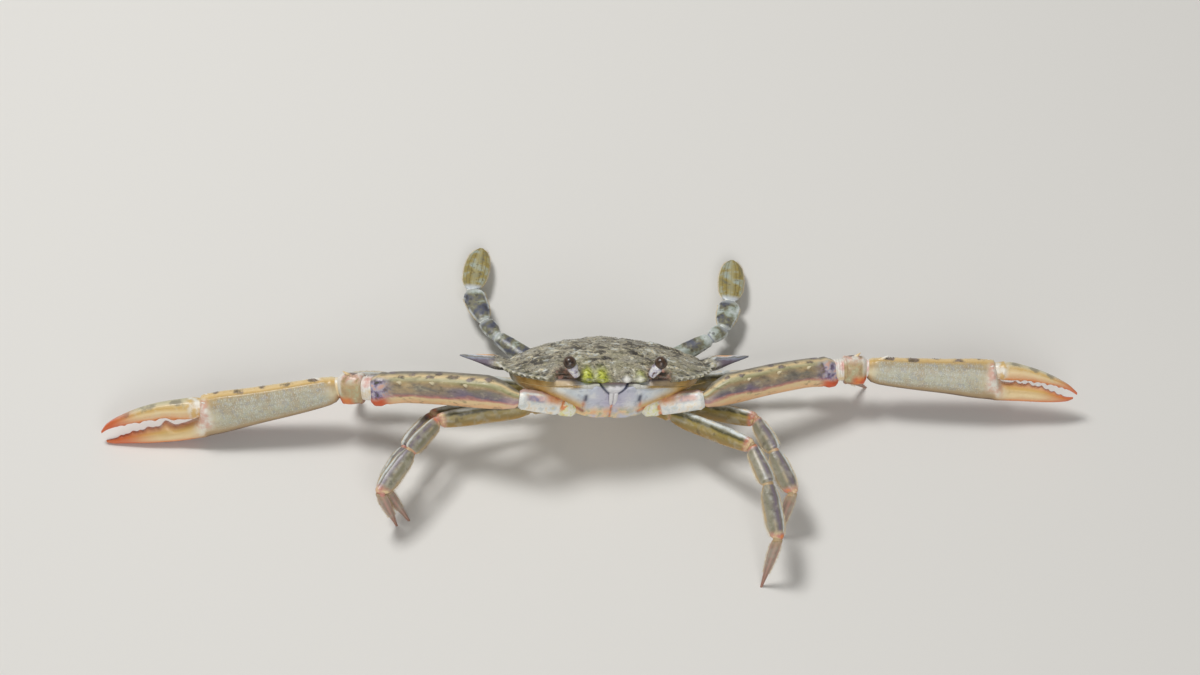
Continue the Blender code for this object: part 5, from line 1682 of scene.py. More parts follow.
@dataclass
class Trunk:
    """Lower body: mouth front, side walls and breastplate, with the tail flap."""

    shop: Workshop
    shield: Shield
    # depth, share of the shield's breadth, share of its length, shift backward
    levels: Table = (
        (-0.9, 0.90, 0.95, 0.4), (-2.0, 0.93, 0.975, 0.1), (-3.3, 0.92, 0.965, 0.0), (-4.5, 0.89, 0.95, -0.1),
        (-6.0, 0.81, 0.91, -0.4), (-7.5, 0.67, 0.86, -0.5), (-9.0, 0.52, 0.78, -0.6), (-11.2, 0.38, 0.62, -0.3),
        (-12.0, 0.28, 0.50, 0.0),
    )
    # puffed cheek, ridge under the shield and trough over the leg roots: height, width and path
    folds: tuple[tuple[float, float, Table], ...] = (
        (0.5, 2.2, ((11.5, -5.0), (16.0, -4.2), (24.0, -3.6))),
        (0.18, 0.4, ((8.5, -3.4), (16.0, -2.6), (24.0, -2.2))),
        (-0.4, 0.7, ((9.0, -8.8), (13.0, -7.4), (20.0, -5.8))),
    )
    columns: int = 560
    rows: int = 46
    flap_path: Table = (
        (18.1, -4.3), (17.6, -6.6), (16.2, -9.0), (13.4, -11.9), (10.0, -13.2), (5.0, -13.4), (0.0, -13.2),
        (-3.0, -12.9),
    )
    flap_half_widths: tuple[float, ...] = (8.0, 8.2, 7.2, 5.6, 3.6, 2.6, 1.9, 0.8)
    flap_half_thickness: float = 0.55

    def build(self) -> None:
        """Build the trunk and the flap."""
        outline = by_length(closed_curve(both_sides(self.shield.outline), 1440), self.columns)
        outline = outline - (0.0, self.shield.centre_y)
        table = np.array(self.levels)[::-1]
        depth = np.linspace(table[0, 0], table[-1, 0], self.rows)
        wide, long, shift = monotone(table[:, 0], table[:, 1:], depth).T
        x = outline[None, :, 0] * wide[:, None]
        y = outline[None, :, 1] * long[:, None] + self.shield.centre_y + shift[:, None]
        z = np.repeat(depth[:, None], self.columns, axis=1)
        ahead = smoothstep(0.0, -6.0, y)
        muzzle = smoothstep(15.0, 6.5, np.abs(x)) * smoothstep(-1.0, -2.6, z) * ahead
        y = y * (1.0 - muzzle) + np.maximum(FacePlan.slope(z) - 0.3, -14.9) * muzzle
        folds = sum(rise * band(np.abs(x), z, path, width) for rise, width, path in self.folds)
        y = y - folds * ahead
        rings = np.stack([x, y, z], axis=-1)
        values = {"body": rings, **FacePlan.paint(rings)}
        skin = lofted(self.shop.stance.place(rings), values, (0.0, 0.0))
        self.shop.finish(skin, "thorax_wall", BELLY, Slot.BELLY, "thorax")
        self.build_flap()

    def build_flap(self) -> None:
        """Build the narrow tail flap with its cross seams."""
        knots = np.array([(0.0, y, z) for y, z in self.flap_path])
        path, at = along_path(knots, 90)
        half = np.interp(at, range(len(self.flap_half_widths)), self.flap_half_widths)
        way = np.gradient(path, axis=0)
        way /= np.linalg.norm(way, axis=1)[:, None]
        across = np.array((1.0, 0.0, 0.0))
        out = np.cross(across, way)
        angle = 2.0 * np.pi * np.arange(48) / 48
        c, s = np.cos(angle), np.sin(angle)
        seam = 0.12 * np.abs(np.sin(at * np.pi)) ** 0.5 - 0.06
        wide = half[:, None] * np.sign(c) * np.abs(c) ** 0.7
        thick = (self.flap_half_thickness + seam)[:, None] * np.sign(s) * np.abs(s) ** 0.7
        rings = path[:, None] + across * wide[..., None] + out[:, None] * thick[..., None]
        skin = lofted(self.shop.stance.place(rings), {"body": rings}, (0.0, 0.0))
        self.shop.finish(skin, "tail_flap", BELLY, Slot.BELLY, "apron")


@dataclass
class Face:
    """Eyes, mouth plates and feelers of both sides."""

    shop: Workshop
    eye_centre: tuple[float, float, float] = (12.4, -14.2, 4.5)
    eye_radius: float = 1.75
    stalk_root: tuple[float, float, float] = (10.1, -13.3, 0.6)
    plate_outline: Table = (
        (0.45, -12.0), (0.32, -10.0), (0.34, -8.2), (0.8, -5.9), (1.25, -4.5), (2.2, -3.5), (3.5, -2.2),
        (5.1, -1.9), (6.4, -3.2), (6.75, -4.8), (6.7, -8.0), (6.2, -11.0), (5.2, -12.1), (2.6, -12.4),
    )
    branch_outline: Table = ((6.75, -11.2), (7.0, -8.0), (7.0, -4.6), (7.5, -4.0), (7.95, -5.0), (7.9, -8.0),
                             (7.5, -10.9))
    palp_path: Table = ((0.80, -13.8, -3.4), (0.64, -14.35, -4.2), (0.58, -13.95, -6.0), (0.42, -12.9, -7.5))
    palp_radii: tuple[float, ...] = (0.5, 0.62, 0.56, 0.3)
    feeler_path: Table = (
        (4.0, -14.2, -2.0), (6.2, -14.4, -2.1), (8.4, -14.7, -2.1), (11.5, -14.3, -2.2),
        (15.0, -13.8, -2.4), (18.5, -13.3, -2.4), (22.0, -12.4, -2.2), (25.5, -11.4, -1.7),
    )
    feeler_radii: tuple[float, ...] = (0.60, 0.75, 0.50, 0.22, 0.17, 0.14, 0.11, 0.07)

    def build(self) -> None:
        """Build both sides of the face."""
        for side in Side:
            self.build_eye(side)
            self.build_plate(side)
            self.build_feeler(side)

    def mirrored(self, side: Side, points: Sequence[Sequence[float]]) -> Array:
        """World places of body points on one side."""
        rows = np.atleast_2d(np.array(points, float))
        return self.shop.stance.place(rows * (side.value, 1.0, 1.0))

    def build_eye(self, side: Side) -> None:
        """Build the round cornea and its short stalk."""
        centre = self.mirrored(side, self.eye_centre)[0]
        root = self.mirrored(side, self.stalk_root)[0]
        way = unit(centre - root)
        t = np.linspace(-1.0, 1.0, 29)
        radius = self.eye_radius * MM
        path = centre + way * (t * radius)[:, None]
        rings = rod(path[1:-1], radius * np.sqrt(1.0 - t[1:-1] ** 2), 40)
        self.shop.finish(lofted(rings, None, (0.02 * MM, 0.02 * MM)), "cornea_" + side.tag, CORNEA, Slot.CORNEA,
                         "eye_" + side.tag)
        reach = np.linalg.norm(centre - root) - radius * 0.72
        u = np.linspace(0.0, 1.0, 24)
        widths = np.interp(u, (0.0, 0.35, 0.8, 1.0), (1.0, 1.2, 1.5, 1.35)) * MM
        stalk = lofted(rod(root + way * (u * reach)[:, None], widths, 28), None, (0.0, 0.0))
        self.shop.finish(stalk, "eye_stalk_" + side.tag, STALK, Slot.STALK, "eyestalk_" + side.tag)

    def panel(self, side: Side, outline: Table, bulge: float) -> Skin:
        """Cushioned plate with a cross seam and a long groove.

        Args:
            side: side of the mouth.
            outline: corners of the plate (distance from the midline, height).
            bulge: how far its middle stands out of its rim.

        Returns:
            The closed skin.
        """
        loop = by_length(closed_curve(np.array(outline), 480), 110)
        middle = loop.mean(axis=0)
        rings = []
        for share, sink in ((0.9, 0.9), (1.0, 0.6), (1.0, 0.15)):
            flat = middle + (loop - middle) * share
            rings.append(np.stack([flat[:, 0], FacePlan.slope(flat[:, 1]) + sink, flat[:, 1]], axis=1))
        for share in (0.992, 0.975, 0.95, 0.92, 0.88, 0.83, 0.77, 0.7, 0.62, 0.53, 0.44, 0.34, 0.24, 0.14):
            x, z = (middle + (loop - middle) * share).T
            groove = 0.16 * bell((x - 2.7) / 0.28) * smoothstep(-7.4, -8.6, z)
            seam = 0.22 * bell((z + 7.2 - 0.12 * x) / 0.2) + groove
            out = bulge * (1.0 - share**6) ** 0.5 + humps(x, z, ((0.12, 4.6, -5.2, 1.6, 1.5),)) - seam
            rings.append(np.stack([x, FacePlan.slope(z) - out, z], axis=1))
        body = np.array(rings) * (side.value, 1.0, 1.0)
        return lofted(self.shop.stance.place(body), {"body": body, **FacePlan.paint(body)})

    def build_plate(self, side: Side) -> None:
        """Build the plate over one side of the mouth, with its palp and outer branch."""
        path, at = along_path(np.array(self.palp_path) * (side.value, 1.0, 1.0), 26)
        rings = rod(path, np.interp(at, range(4), self.palp_radii), 24, 0.62, np.array((0.0, -1.0, 0.0)))
        white = {"body": rings, "pale": np.full(rings.shape[:2], 0.6)}
        palp = lofted(self.shop.stance.place(rings), white, (0.1 * MM, 0.1 * MM))
        plate = self.panel(side, self.plate_outline, 0.6)
        palp.values.update({name: 0.0 * palp.values["pale"] for name in ("blush", "rust", "mark")})
        whole = plate.joined(palp, self.panel(side, self.branch_outline, 0.45))
        self.shop.finish(whole, "mouth_plate_" + side.tag, BELLY, Slot.BELLY, "maxilliped_" + side.tag)

    def build_feeler(self, side: Side) -> None:
        """Build the feeler: thick base pieces and a ringed whip."""
        path, at = along_path(self.mirrored(side, self.feeler_path), 150)
        widths = np.interp(at, range(8), self.feeler_radii)
        rings_on_whip = 0.07 * np.sin(at * 40.0) * smoothstep(2.4, 3.2, at)
        widths *= 1.0 + rings_on_whip - 0.15 * bell((at - 1.5) / 0.08) - 0.15 * bell((at - 2.5) / 0.08)
        rings = rod(path, widths * MM, 14)
        limb = np.repeat(np.stack([at, 0 * at, 0 * at], axis=1)[:, None], 14, axis=1)
        skin = lofted(rings, {"limb": limb}, (0.1 * MM, 0.05 * MM))
        self.shop.finish(skin, "feeler_" + side.tag, FEELER, Slot.FEELER, "antenna_" + side.tag)


@dataclass(frozen=True)
class ClawShape:
    """Stations of a claw's two fingers, place, height and radius of their teeth, and the finger's blotches."""

    pollex: Table
    teeth: Table
    finger: Table
    finger_teeth: Table
    blotches: Table


class ClawKind(Enum):
    """The heavy claw with molar teeth and the slender one with cutting teeth."""

    CRUSHER = ClawShape(
        pollex=((41.2, -0.9, -6.3, 2.6), (46.0, -1.7, -6.0, 2.2), (53.6, -1.0, -5.0, 1.9),
                (60.3, -1.2, -3.7, 1.3), (64.4, -1.6, -2.9, 0.8), (66.3, -1.5, -2.2, 0.35)),
        teeth=((45.0, 0.3, 0.9), (49.0, 1.9, 1.4), (52.2, 0.4, 0.7), (54.2, 0.8, 0.9), (56.6, 0.4, 0.6),
               (58.6, 0.65, 0.8), (60.6, 0.3, 0.5), (62.2, 0.4, 0.6)),
        finger=((-1.8, 1.9, -2.6, 2.2), (0.0, 2.3, -2.9, 2.5), (1.2, 2.5, -3.1, 2.6), (3.5, 2.6, -3.1, 2.5),
                (9.3, 2.5, -1.8, 2.2), (15.1, 1.8, -2.0, 1.9), (21.7, 0.0, -2.6, 1.4), (25.8, -1.9, -3.5, 0.8),
                (27.6, -3.8, -4.5, 0.35)),
        finger_teeth=((7.4, 1.0, 1.2), (10.2, 0.35, 0.6), (12.2, 0.8, 0.9), (14.6, 0.35, 0.5), (16.6, 0.7, 0.8),
                      (18.8, 0.3, 0.5), (20.8, 0.5, 0.6), (22.8, 0.25, 0.4)),
        blotches=((5.2, 78.0, 2.2, 1.6), (13.0, 74.0, 2.4, 1.4), (19.6, 72.0, 1.7, 1.2)),
    )
    CUTTER = ClawShape(
        pollex=((41.0, -0.7, -6.3, 2.6), (47.0, -0.9, -6.0, 2.2), (52.5, -1.5, -5.8, 1.9),
                (57.5, -3.1, -5.4, 1.3), (60.6, -3.7, -4.9, 0.8), (62.2, -3.5, -4.2, 0.35)),
        teeth=((44.5, 0.8, 0.7), (46.6, 0.45, 0.4), (48.5, 0.85, 0.7), (50.6, 0.45, 0.4), (52.5, 0.8, 0.65),
               (54.6, 0.4, 0.4), (56.5, 0.6, 0.55), (58.6, 0.4, 0.4)),
        finger=((-1.8, 1.9, -2.3, 2.0), (0.0, 2.4, -2.6, 2.3), (1.2, 2.6, -2.7, 2.4), (3.5, 2.7, -2.7, 2.3),
                (8.0, 2.0, -2.3, 2.0), (13.0, 0.8, -2.6, 1.7), (17.5, -0.8, -3.2, 1.2), (21.5, -2.8, -4.3, 0.7),
                (24.2, -5.0, -5.7, 0.35)),
        finger_teeth=((7.0, 0.7, 0.6), (9.1, 0.4, 0.4), (11.0, 0.65, 0.6), (13.0, 0.35, 0.4), (15.0, 0.6, 0.5),
                      (16.9, 0.3, 0.35), (18.5, 0.5, 0.45), (20.3, 0.3, 0.3)),
        blotches=((4.6, 80.0, 2.0, 1.4), (10.4, 76.0, 2.0, 1.4), (15.5, 74.0, 1.6, 1.2)),
    )


@dataclass(frozen=True)
class ClawPose:
    """Size of one claw and the way each of its pieces points (azimuth, elevation), in degrees."""

    side: Side
    kind: ClawKind
    size: float
    merus: tuple[float, float]
    carpus: tuple[float, float]
    palm: tuple[float, float]
    gape: float
    back_tilt: float


CLAW_POSES = (
    ClawPose(Side.RIGHT, ClawKind.CRUSHER, 1.0, (166.1, -13.0), (170.0, -10.0), (186.4, -11.4), 5.0, 25.0),
    ClawPose(Side.LEFT, ClawKind.CUTTER, 0.92, (19.8, -7.5), (5.3, -1.0), (-3.7, -3.5), 0.0, 33.0),
)


@dataclass
class ClawArm:
    """Whole claw arm: base, upper arm, wrist, palm with its fixed finger, and the moving finger."""

    shop: Workshop
    pose: ClawPose
    root: tuple[float, float, float] = (9.3, -8.0, -10.2)
    hip: tuple[float, float, float] = (25.2, -11.8, -6.4)
    base_stations: Table = (
        (0.0, 1.6, -1.4, 1.6), (1.0, 2.5, -2.2, 2.2), (6.0, 2.9, -2.5, 2.4), (12.0, 3.0, -2.6, 2.5),
        (16.0, 2.7, -2.5, 2.4), (17.0, 2.2, -2.1, 1.9),
    )
    merus_stations: Table = (
        (0.0, 1.9, -2.0, 1.8), (1.0, 2.4, -2.5, 2.3), (4.5, 4.7, -2.9, 2.9), (9.0, 6.1, -3.0, 3.4),
        (20.0, 6.1, -2.7, 3.6), (31.0, 5.5, -2.9, 3.6), (38.0, 4.8, -4.1, 3.4), (41.2, 3.8, -4.9, 2.8),
        (42.3, 2.8, -4.4, 2.2),
    )
    carpus_stations: Table = (
        (0.0, 2.3, -2.9, 1.9), (0.9, 3.1, -3.6, 2.6), (3.5, 4.0, -4.3, 3.3), (6.5, 4.0, -4.8, 3.3),
        (8.6, 3.4, -4.6, 2.8), (9.4, 2.7, -3.7, 2.2),
    )
    palm_stations: Table = (
        (0.0, 2.3, -2.9, 1.9), (1.0, 2.9, -3.7, 2.5), (4.0, 3.4, -4.6, 3.1), (13.0, 4.0, -5.2, 3.5),
        (24.0, 4.8, -5.6, 3.7), (33.0, 5.7, -6.2, 3.7), (37.0, 5.8, -6.3, 3.4), (38.2, 4.4, -6.35, 3.2),
        (39.2, 0.6, -6.4, 3.0),
    )
    finger_hinge: tuple[float, float] = (39.0, 3.0)
    # place and height of the spines on the front of the upper arm, and their turn in degrees
    merus_spines: Table = ((13.0, 1.0), (22.5, 1.2), (32.0, 1.2))
    merus_spine_turn: float = 40.0
    merus_spots: Table = (
        (7.5, 74.0, 1.0, 1.0), (12.2, 66.0, 1.4, 0.9), (17.5, 72.0, 1.7, 0.9), (21.8, 88.0, 1.2, 1.0),
        (24.2, 66.0, 1.9, 0.9), (29.5, 80.0, 1.3, 0.9), (32.8, 68.0, 1.6, 0.9), (36.2, 96.0, 1.4, 1.2),
    )
    palm_spots: Table = (
        (6.5, 92.0, 1.5, 1.3), (13.5, 84.0, 1.7, 1.1), (20.5, 94.0, 1.4, 1.0), (26.5, 84.0, 1.9, 1.1),
        (33.0, 96.0, 1.2, 1.0),
    )
    # place, turn and height of the spines on the palm
    palm_spines: Table = ((3.2, 86.0, 2.4), (34.0, 92.0, 1.6), (35.5, 60.0, 1.1))
    skin_gap: float = 2.4

    def build(self) -> None:
        """Build the arm's pieces from the body outward."""
        pose, size = self.pose, self.pose.size
        up = heading(90.0, 90.0 - pose.back_tilt)
        root, hip = self.shop.stance.place(np.array((self.root, self.hip)) * (pose.side.value, 1.0, 1.0))
        base_way, reach = unit(hip - root), np.linalg.norm(hip - root) / MM
        merus_way, carpus_way, palm_way = (heading(*way) for way in (pose.merus, pose.carpus, pose.palm))
        elbow, wrist = bisector(base_way, merus_way), bisector(carpus_way, palm_way)

        swellings = (Rim(4.8, 0.4, -0.4), Knob(2.4, 20.0, 2.4, 0.5), Rim(15.6, 0.5, 0.14),
                     Knob(10.0, 60.0, 2.5, 0.25), Ridge(8.0, 0.5, -0.22, 5.0, 16.0),
                     Ridge(-40.0, 0.6, 0.15, 5.0, 16.0))
        base = Limb(root, base_way, up, fitted(self.base_stations, reach), far=elbow, columns=48,
                    clearance=0.04, relief=swellings)
        self.finish(base.skin(), "root", HIP, Slot.BELLY, "base")

        merus = self.build_merus(hip, merus_way, up, elbow)
        swellings = (Rim(2.9, 0.35, 0.22), Rim(8.3, 0.4, 0.18), Knob(5.5, 75.0, 1.6, 0.35),
                     Knob(7.6, -30.0, 1.2, 0.35), Ridge(20.0, 0.5, 0.18, 3.0, 8.0))
        carpus = Limb(merus.end, carpus_way, up, np.array(self.carpus_stations), size, columns=60, step=0.25,
                      first=self.skin_gap, far=wrist, relief=swellings, spots=((5.0, 100.0, 1.0, 1.0),))
        self.finish(carpus.skin().joined(self.spine(carpus, 5.2, 88.0, 2.2)), "wrist", WRIST, Slot.ARM,
                    "carpus")
        palm = self.build_palm(carpus.end, palm_way, up, wrist)
        self.build_finger(palm)

        middle = merus.end + carpus.way * 0.9 * size * MM
        girth = (3.1 * size, -3.2 * size, 2.6 * size)
        inner = sleeve(middle, carpus.way, carpus.up, girth, 4.2 * size, 5, 0.16)
        girth = (2.6 * size, -2.8 * size, 2.1 * size)
        outer = sleeve(carpus.end, wrist, carpus.up, girth, 1.6 * size, 2, 0.1)
        self.finish(inner.joined(outer), "joint_skin", JOINT, Slot.BELLY)

    def finish(self, skin: Skin, word: str, look: Finish, slot: Slot, node: str = "",
               beads: Optional[GranuleField] = None) -> None:
        """Finish one piece of this arm; see Workshop.finish."""
        tag = self.pose.side.tag
        self.shop.finish(skin, f"claw_{word}_{tag}", look, slot, node and f"claw_{node}_{tag}", beads)

    def spine(self, limb: Limb, place: float, turn: float, length: float) -> Skin:
        """Spine on a piece of the arm, leaning toward the claw."""
        way = limb.out(turn) * 0.8 + limb.way
        scale = limb.size * MM
        return thorn(limb.at(place, turn, 0.8), way, (length + 1.0) * scale, 0.8 * scale, (place, turn / 180.0))

    def build_merus(self, hip: Array, way: Array, up: Array, near: Array) -> Limb:
        """Build the long upper arm with its front spines."""
        swellings = (Ridge(46.0, 0.7, 0.22, 3.0, 40.0), Ridge(-52.0, 0.5, 0.2, 3.0, 40.0),
                     Ridge(-6.0, 1.1, -0.14, 6.0, 38.0), Rim(39.4, 0.7, 0.22), Rim(37.6, 0.5, -0.16),
                     Knob(40.6, -36.0, 1.2, 0.5), Knob(40.2, 60.0, 1.4, 0.3))
        merus = Limb(hip, way, up, np.array(self.merus_stations), self.pose.size, near=near, columns=64,
                     step=0.35, clearance=0.04, relief=swellings, spots=self.merus_spots, dish=(0.1, -0.9))
        turn, scale = self.merus_spine_turn, merus.size * MM
        lean = merus.out(turn) + merus.way * 0.5
        spines = [thorn(merus.at(place, turn, 0.78), lean, (tall + 1.1) * scale, 0.75 * scale,
                        (place, turn / 180.0)) for place, tall in self.merus_spines]
        self.finish(merus.skin().joined(*spines), "upper_arm", ARM, Slot.ARM, "merus")
        return merus

    def build_palm(self, wrist: Array, way: Array, up: Array, near: Array) -> Limb:
        """Build the palm with its keels, beads, fixed finger and teeth."""
        shape = self.pose.kind.value
        keels = (Ridge(64.0, 0.5, 0.28, 2.0, 38.0), Ridge(36.0, 0.45, 0.16, 3.0, 37.0),
                 Ridge(-22.0, 0.5, 0.16, 3.0, 46.0), Ridge(92.0, 0.6, 0.25, 3.0, 38.0), Rim(1.6, 0.35, 0.15),
                 Knob(37.4, 22.0, 1.5, 0.75), Knob(37.0, 158.0, 1.5, 0.6), Ridge(8.0, 0.4, -0.14, 42.0, 66.0),
                 Ridge(-34.0, 0.4, -0.14, 42.0, 64.0))
        teeth = tuple(Knob(place, 90.0, radius * 1.1, height) for place, height, radius in shape.teeth)
        palm = Limb(wrist, way, up, np.array(self.palm_stations + shape.pollex), self.pose.size, near=near,
                    columns=72, step=0.28, relief=keels + teeth, spots=self.palm_spots)
        skin = palm.skin()
        along, turn = skin.values["limb"][:, 0], skin.values["limb"][:, 1] * 180.0
        grow = smoothstep(2.0, 6.0, along) * (1.0 - smoothstep(32.0, 37.0, along))
        grow *= smoothstep(-34.0, -10.0, turn) * (1.0 - smoothstep(60.0, 84.0, turn))
        crests = bell((turn - 64.0) / 7.0) + bell((turn - 92.0) / 9.0) + bell((turn + 22.0) / 6.0)
        grow += crests * smoothstep(2.0, 4.0, along) * (1.0 - smoothstep(35.0, 40.0, along))
        skin.values["grow"] = np.clip(grow, 0.0, 1.0)
        spines = [self.spine(palm, *row) for row in self.palm_spines]
        beads = GranuleField(spacing=0.5, radius=0.15, seed=31, density=8.0e6)
        self.finish(skin.joined(*spines), "hand", PALM, Slot.PALM, "palm", beads)
        return palm

    def build_finger(self, palm: Limb) -> None:
        """Build the moving finger with its teeth."""
        shape = self.pose.kind.value
        place, level = self.finger_hinge
        hinge = palm.start + (palm.way * place + palm.height * level) * palm.size * MM
        across = np.cross(palm.height, palm.way)
        swing = np.array(Matrix.Rotation(-math.radians(self.pose.gape), 3, Vector(across)))
        keels = (Ridge(58.0, 0.45, 0.16, 1.0, 26.0), Ridge(20.0, 0.4, -0.16, 2.0, 26.0),
                 Ridge(-22.0, 0.4, -0.14, 3.0, 24.0), Rim(1.4, 0.5, 0.15))
        teeth = tuple(Knob(place, -90.0, radius * 1.1, height) for place, height, radius in shape.finger_teeth)
        finger = Limb(hinge, swing @ palm.way, palm.height, np.array(shape.finger), palm.size, columns=56,
                      step=0.25, relief=keels + teeth, spots=shape.blotches)
        self.finish(finger.skin(), "moving_finger", FINGER, Slot.FINGER, "finger")


@dataclass(frozen=True)
class LegPlan:
    """Root of a leg in the body's axes, and length, azimuth and elevation of its pieces."""

    name: str
    side: Side
    root: tuple[float, float, float]
    merus: tuple[float, float, float]
    carpus: tuple[float, float, float]
    propodus: tuple[float, float, float]
    toe: tuple[float, float]


LEG_PLANS = (
    LegPlan("leg2", Side.RIGHT, (-12.0, -1.0, -11.0), (25.6, -167.5, 4.4), (12.2, -125.0, 2.0),
            (14.4, -123.0, -9.0), (15.8, -10.0)),
    LegPlan("leg3", Side.RIGHT, (-12.4, 3.6, -10.6), (26.4, -169.0, 0.6), (12.4, -121.0, 2.0),
            (12.8, -116.0, -6.0), (13.6, -28.0)),
    LegPlan("leg4", Side.RIGHT, (-12.2, 8.3, -9.4), (23.5, 180.5, 5.5), (12.0, 176.0, -2.0),
            (13.4, 178.0, -3.0), (12.6, 35.0)),
    LegPlan("leg2", Side.LEFT, (12.0, -1.2, -11.4), (26.4, -34.0, 14.0), (12.4, -71.0, -2.0),
            (15.4, -81.0, -15.0), (16.3, -124.0)),
    LegPlan("leg3", Side.LEFT, (12.4, 3.6, -10.6), (24.4, -21.0, 11.0), (12.4, -69.0, 9.0),
            (12.8, -68.0, -12.0), (15.3, -123.0)),
    LegPlan("leg4", Side.LEFT, (12.2, 8.3, -9.4), (22.5, 3.0, 6.0), (11.8, 2.0, 1.0), (12.4, 3.0, 2.0),
            (13.0, 14.0)),
)


@dataclass(frozen=True)
class LegPiece:
    """One piece of a walking leg: its everyday name, stations and the tilt of its broad face."""

    word: str
    face_rise: float
    stations: Table


LEG_PIECES = {
    "base": LegPiece("root", 40.0, (
        (0.0, 1.0, -1.0, 0.9), (0.8, 1.8, -1.8, 1.5), (4.0, 1.9, -1.9, 1.5), (7.4, 1.8, -1.8, 1.3),
        (8.0, 1.3, -1.3, 1.0))),
    "merus": LegPiece("thigh", 35.0, (
        (0.0, 1.1, -1.1, 0.8), (0.8, 1.8, -1.8, 1.1), (6.0, 2.6, -2.6, 1.3), (16.0, 2.7, -2.6, 1.3),
        (23.0, 2.3, -2.2, 1.2), (24.6, 1.8, -1.7, 1.0), (25.0, 1.3, -1.3, 0.8))),
    "carpus": LegPiece("knee", 50.0, (
        (0.0, 1.0, -1.0, 0.8), (0.7, 1.6, -1.6, 1.1), (4.5, 2.2, -2.1, 1.2), (9.0, 2.5, -2.2, 1.2),
        (11.8, 2.1, -1.8, 1.1), (12.4, 1.4, -1.3, 0.8))),
    "propodus": LegPiece("shank", 62.0, (
        (0.0, 1.1, -1.1, 0.8), (0.7, 1.7, -1.7, 1.0), (5.0, 2.5, -2.4, 1.1), (10.0, 2.6, -2.5, 1.1),
        (14.6, 1.7, -1.6, 0.9), (15.2, 1.2, -1.1, 0.7))),
    "dactylus": LegPiece("toe", 62.0, (
        (0.0, 1.0, -1.0, 0.7), (0.7, 1.4, -1.4, 0.9), (4.5, 1.35, -1.35, 0.85), (10.0, 0.9, -0.9, 0.65),
        (14.0, 0.5, -0.5, 0.45), (16.3, 0.3, -0.3, 0.3))),
}


@dataclass
class WalkingLeg:
    """One walking leg from its base at the breastplate to the tip on the floor."""

    shop: Workshop
    plan: LegPlan
    base_length: float = 8.0
    tip_sink: float = 0.25

    def stretch(self, place: Array, way: Array, joint: str, length: float) -> Limb:
        """One piece of the leg, with its broad faces looking up and forward."""
        piece = LEG_PIECES[joint]
        across = np.cross(way, heading(-90.0, piece.face_rise))
        return Limb(place, way, across if across[2] > 0.0 else -across, fitted(piece.stations, length),
                    columns=36, step=0.35)

    def build(self) -> None:
        """Build the five pieces, the skin of their joints and the fringe."""
        plan, tag = self.plan, self.plan.side.tag
        place = self.shop.stance.place(plan.root)
        rows = ((self.base_length, *plan.merus[1:]), plan.merus, plan.carpus, plan.propodus)
        limbs = []
        for joint, (length, azimuth, elevation) in zip(LEG_PIECES, rows):
            limbs.append(self.stretch(place, heading(azimuth, elevation), joint, length))
            place = limbs[-1].end
        toe_length, toe_azimuth = plan.toe
        fall = math.degrees(math.asin(min((place[2] + self.tip_sink * MM) / (toe_length * MM), 0.999)))
        limbs.append(self.stretch(place, heading(toe_azimuth, -fall), "dactylus", toe_length))
        joints = mitred(limbs, 1.05, 1.05, 1.2)
        for rank, (limb, joint) in enumerate(zip(limbs, LEG_PIECES)):
            self.build_piece(limb, joint, rank)
        self.shop.finish(joints, f"{plan.name}_joint_skin_{tag}", LEG_JOINT, Slot.LEG)
        self.shop.fringe(f"{plan.name}_fringe_{tag}", limbs, 1.6, {2: 1.4, 3: 1.2, 4: 5.0}, Slot.LEG)

    def build_piece(self, limb: Limb, joint: str, rank: int) -> None:
        """Build one piece with its keels and joint tint."""
        toe = joint == "dactylus"
        length = limb.stations[-1, 0]
        last = length - 1.0
        if toe:
            limb.relief = tuple(Ridge(turn, 0.22, -0.10, 0.8, last) for turn in (-50.0, 0.0, 50.0, 180.0))
        else:
            limb.relief = (Ridge(0.0, 0.5, 0.10, 1.0, last), Ridge(52.0, 0.3, -0.10, 1.0, last),
                           Ridge(-48.0, 0.3, -0.08, 1.0, last), Rim(last, 0.4, 0.10))
        skin = limb.skin()
        skin.values["limb"][:, 2] = rank
        along, turn = skin.values["limb"][:, 0], skin.values["limb"][:, 1] * 180.0
        far = smoothstep(length - 2.6, length - 0.8, along) * (rank in (1, 3))
        near = (1.0 - smoothstep(0.4, 1.8, along)) * (rank in (2, 4))
        skin.values["joint"] = np.maximum(far, near)
        keel = np.maximum(bell((turn - 84.0) / 15.0), 0.7 * bell((turn + 84.0) / 13.0))
        skin.values["keel"] = np.maximum(keel, 0.45 * bell(turn / 7.0))
        name, tag = self.plan.name, self.plan.side.tag
        look, slot = (TOE, Slot.LEG_TIP) if toe else (LEG, Slot.LEG)
        self.shop.finish(skin, f"{name}_{LEG_PIECES[joint].word}_{tag}", look, slot, f"{name}_{joint}_{tag}")


@dataclass(frozen=True)
class PaddlePlan:
    """Root of a swimming leg in the body's axes, and length, azimuth and elevation of its pieces."""

    side: Side
    root: tuple[float, float, float]
    pieces: Table


PADDLE_PLANS = (
    PaddlePlan(Side.RIGHT, (-11.5, 13.5, -7.6),
               ((21.0, 139.1, -1.5), (7.0, 121.4, -8.0), (12.2, 107.8, -4.7), (16.0, 82.0, -7.0))),
    PaddlePlan(Side.LEFT, (11.5, 13.5, -7.6),
               ((23.4, 27.7, 7.1), (5.6, 45.7, -8.9), (10.6, 78.8, -6.4), (15.8, 86.4, -7.6))),
)
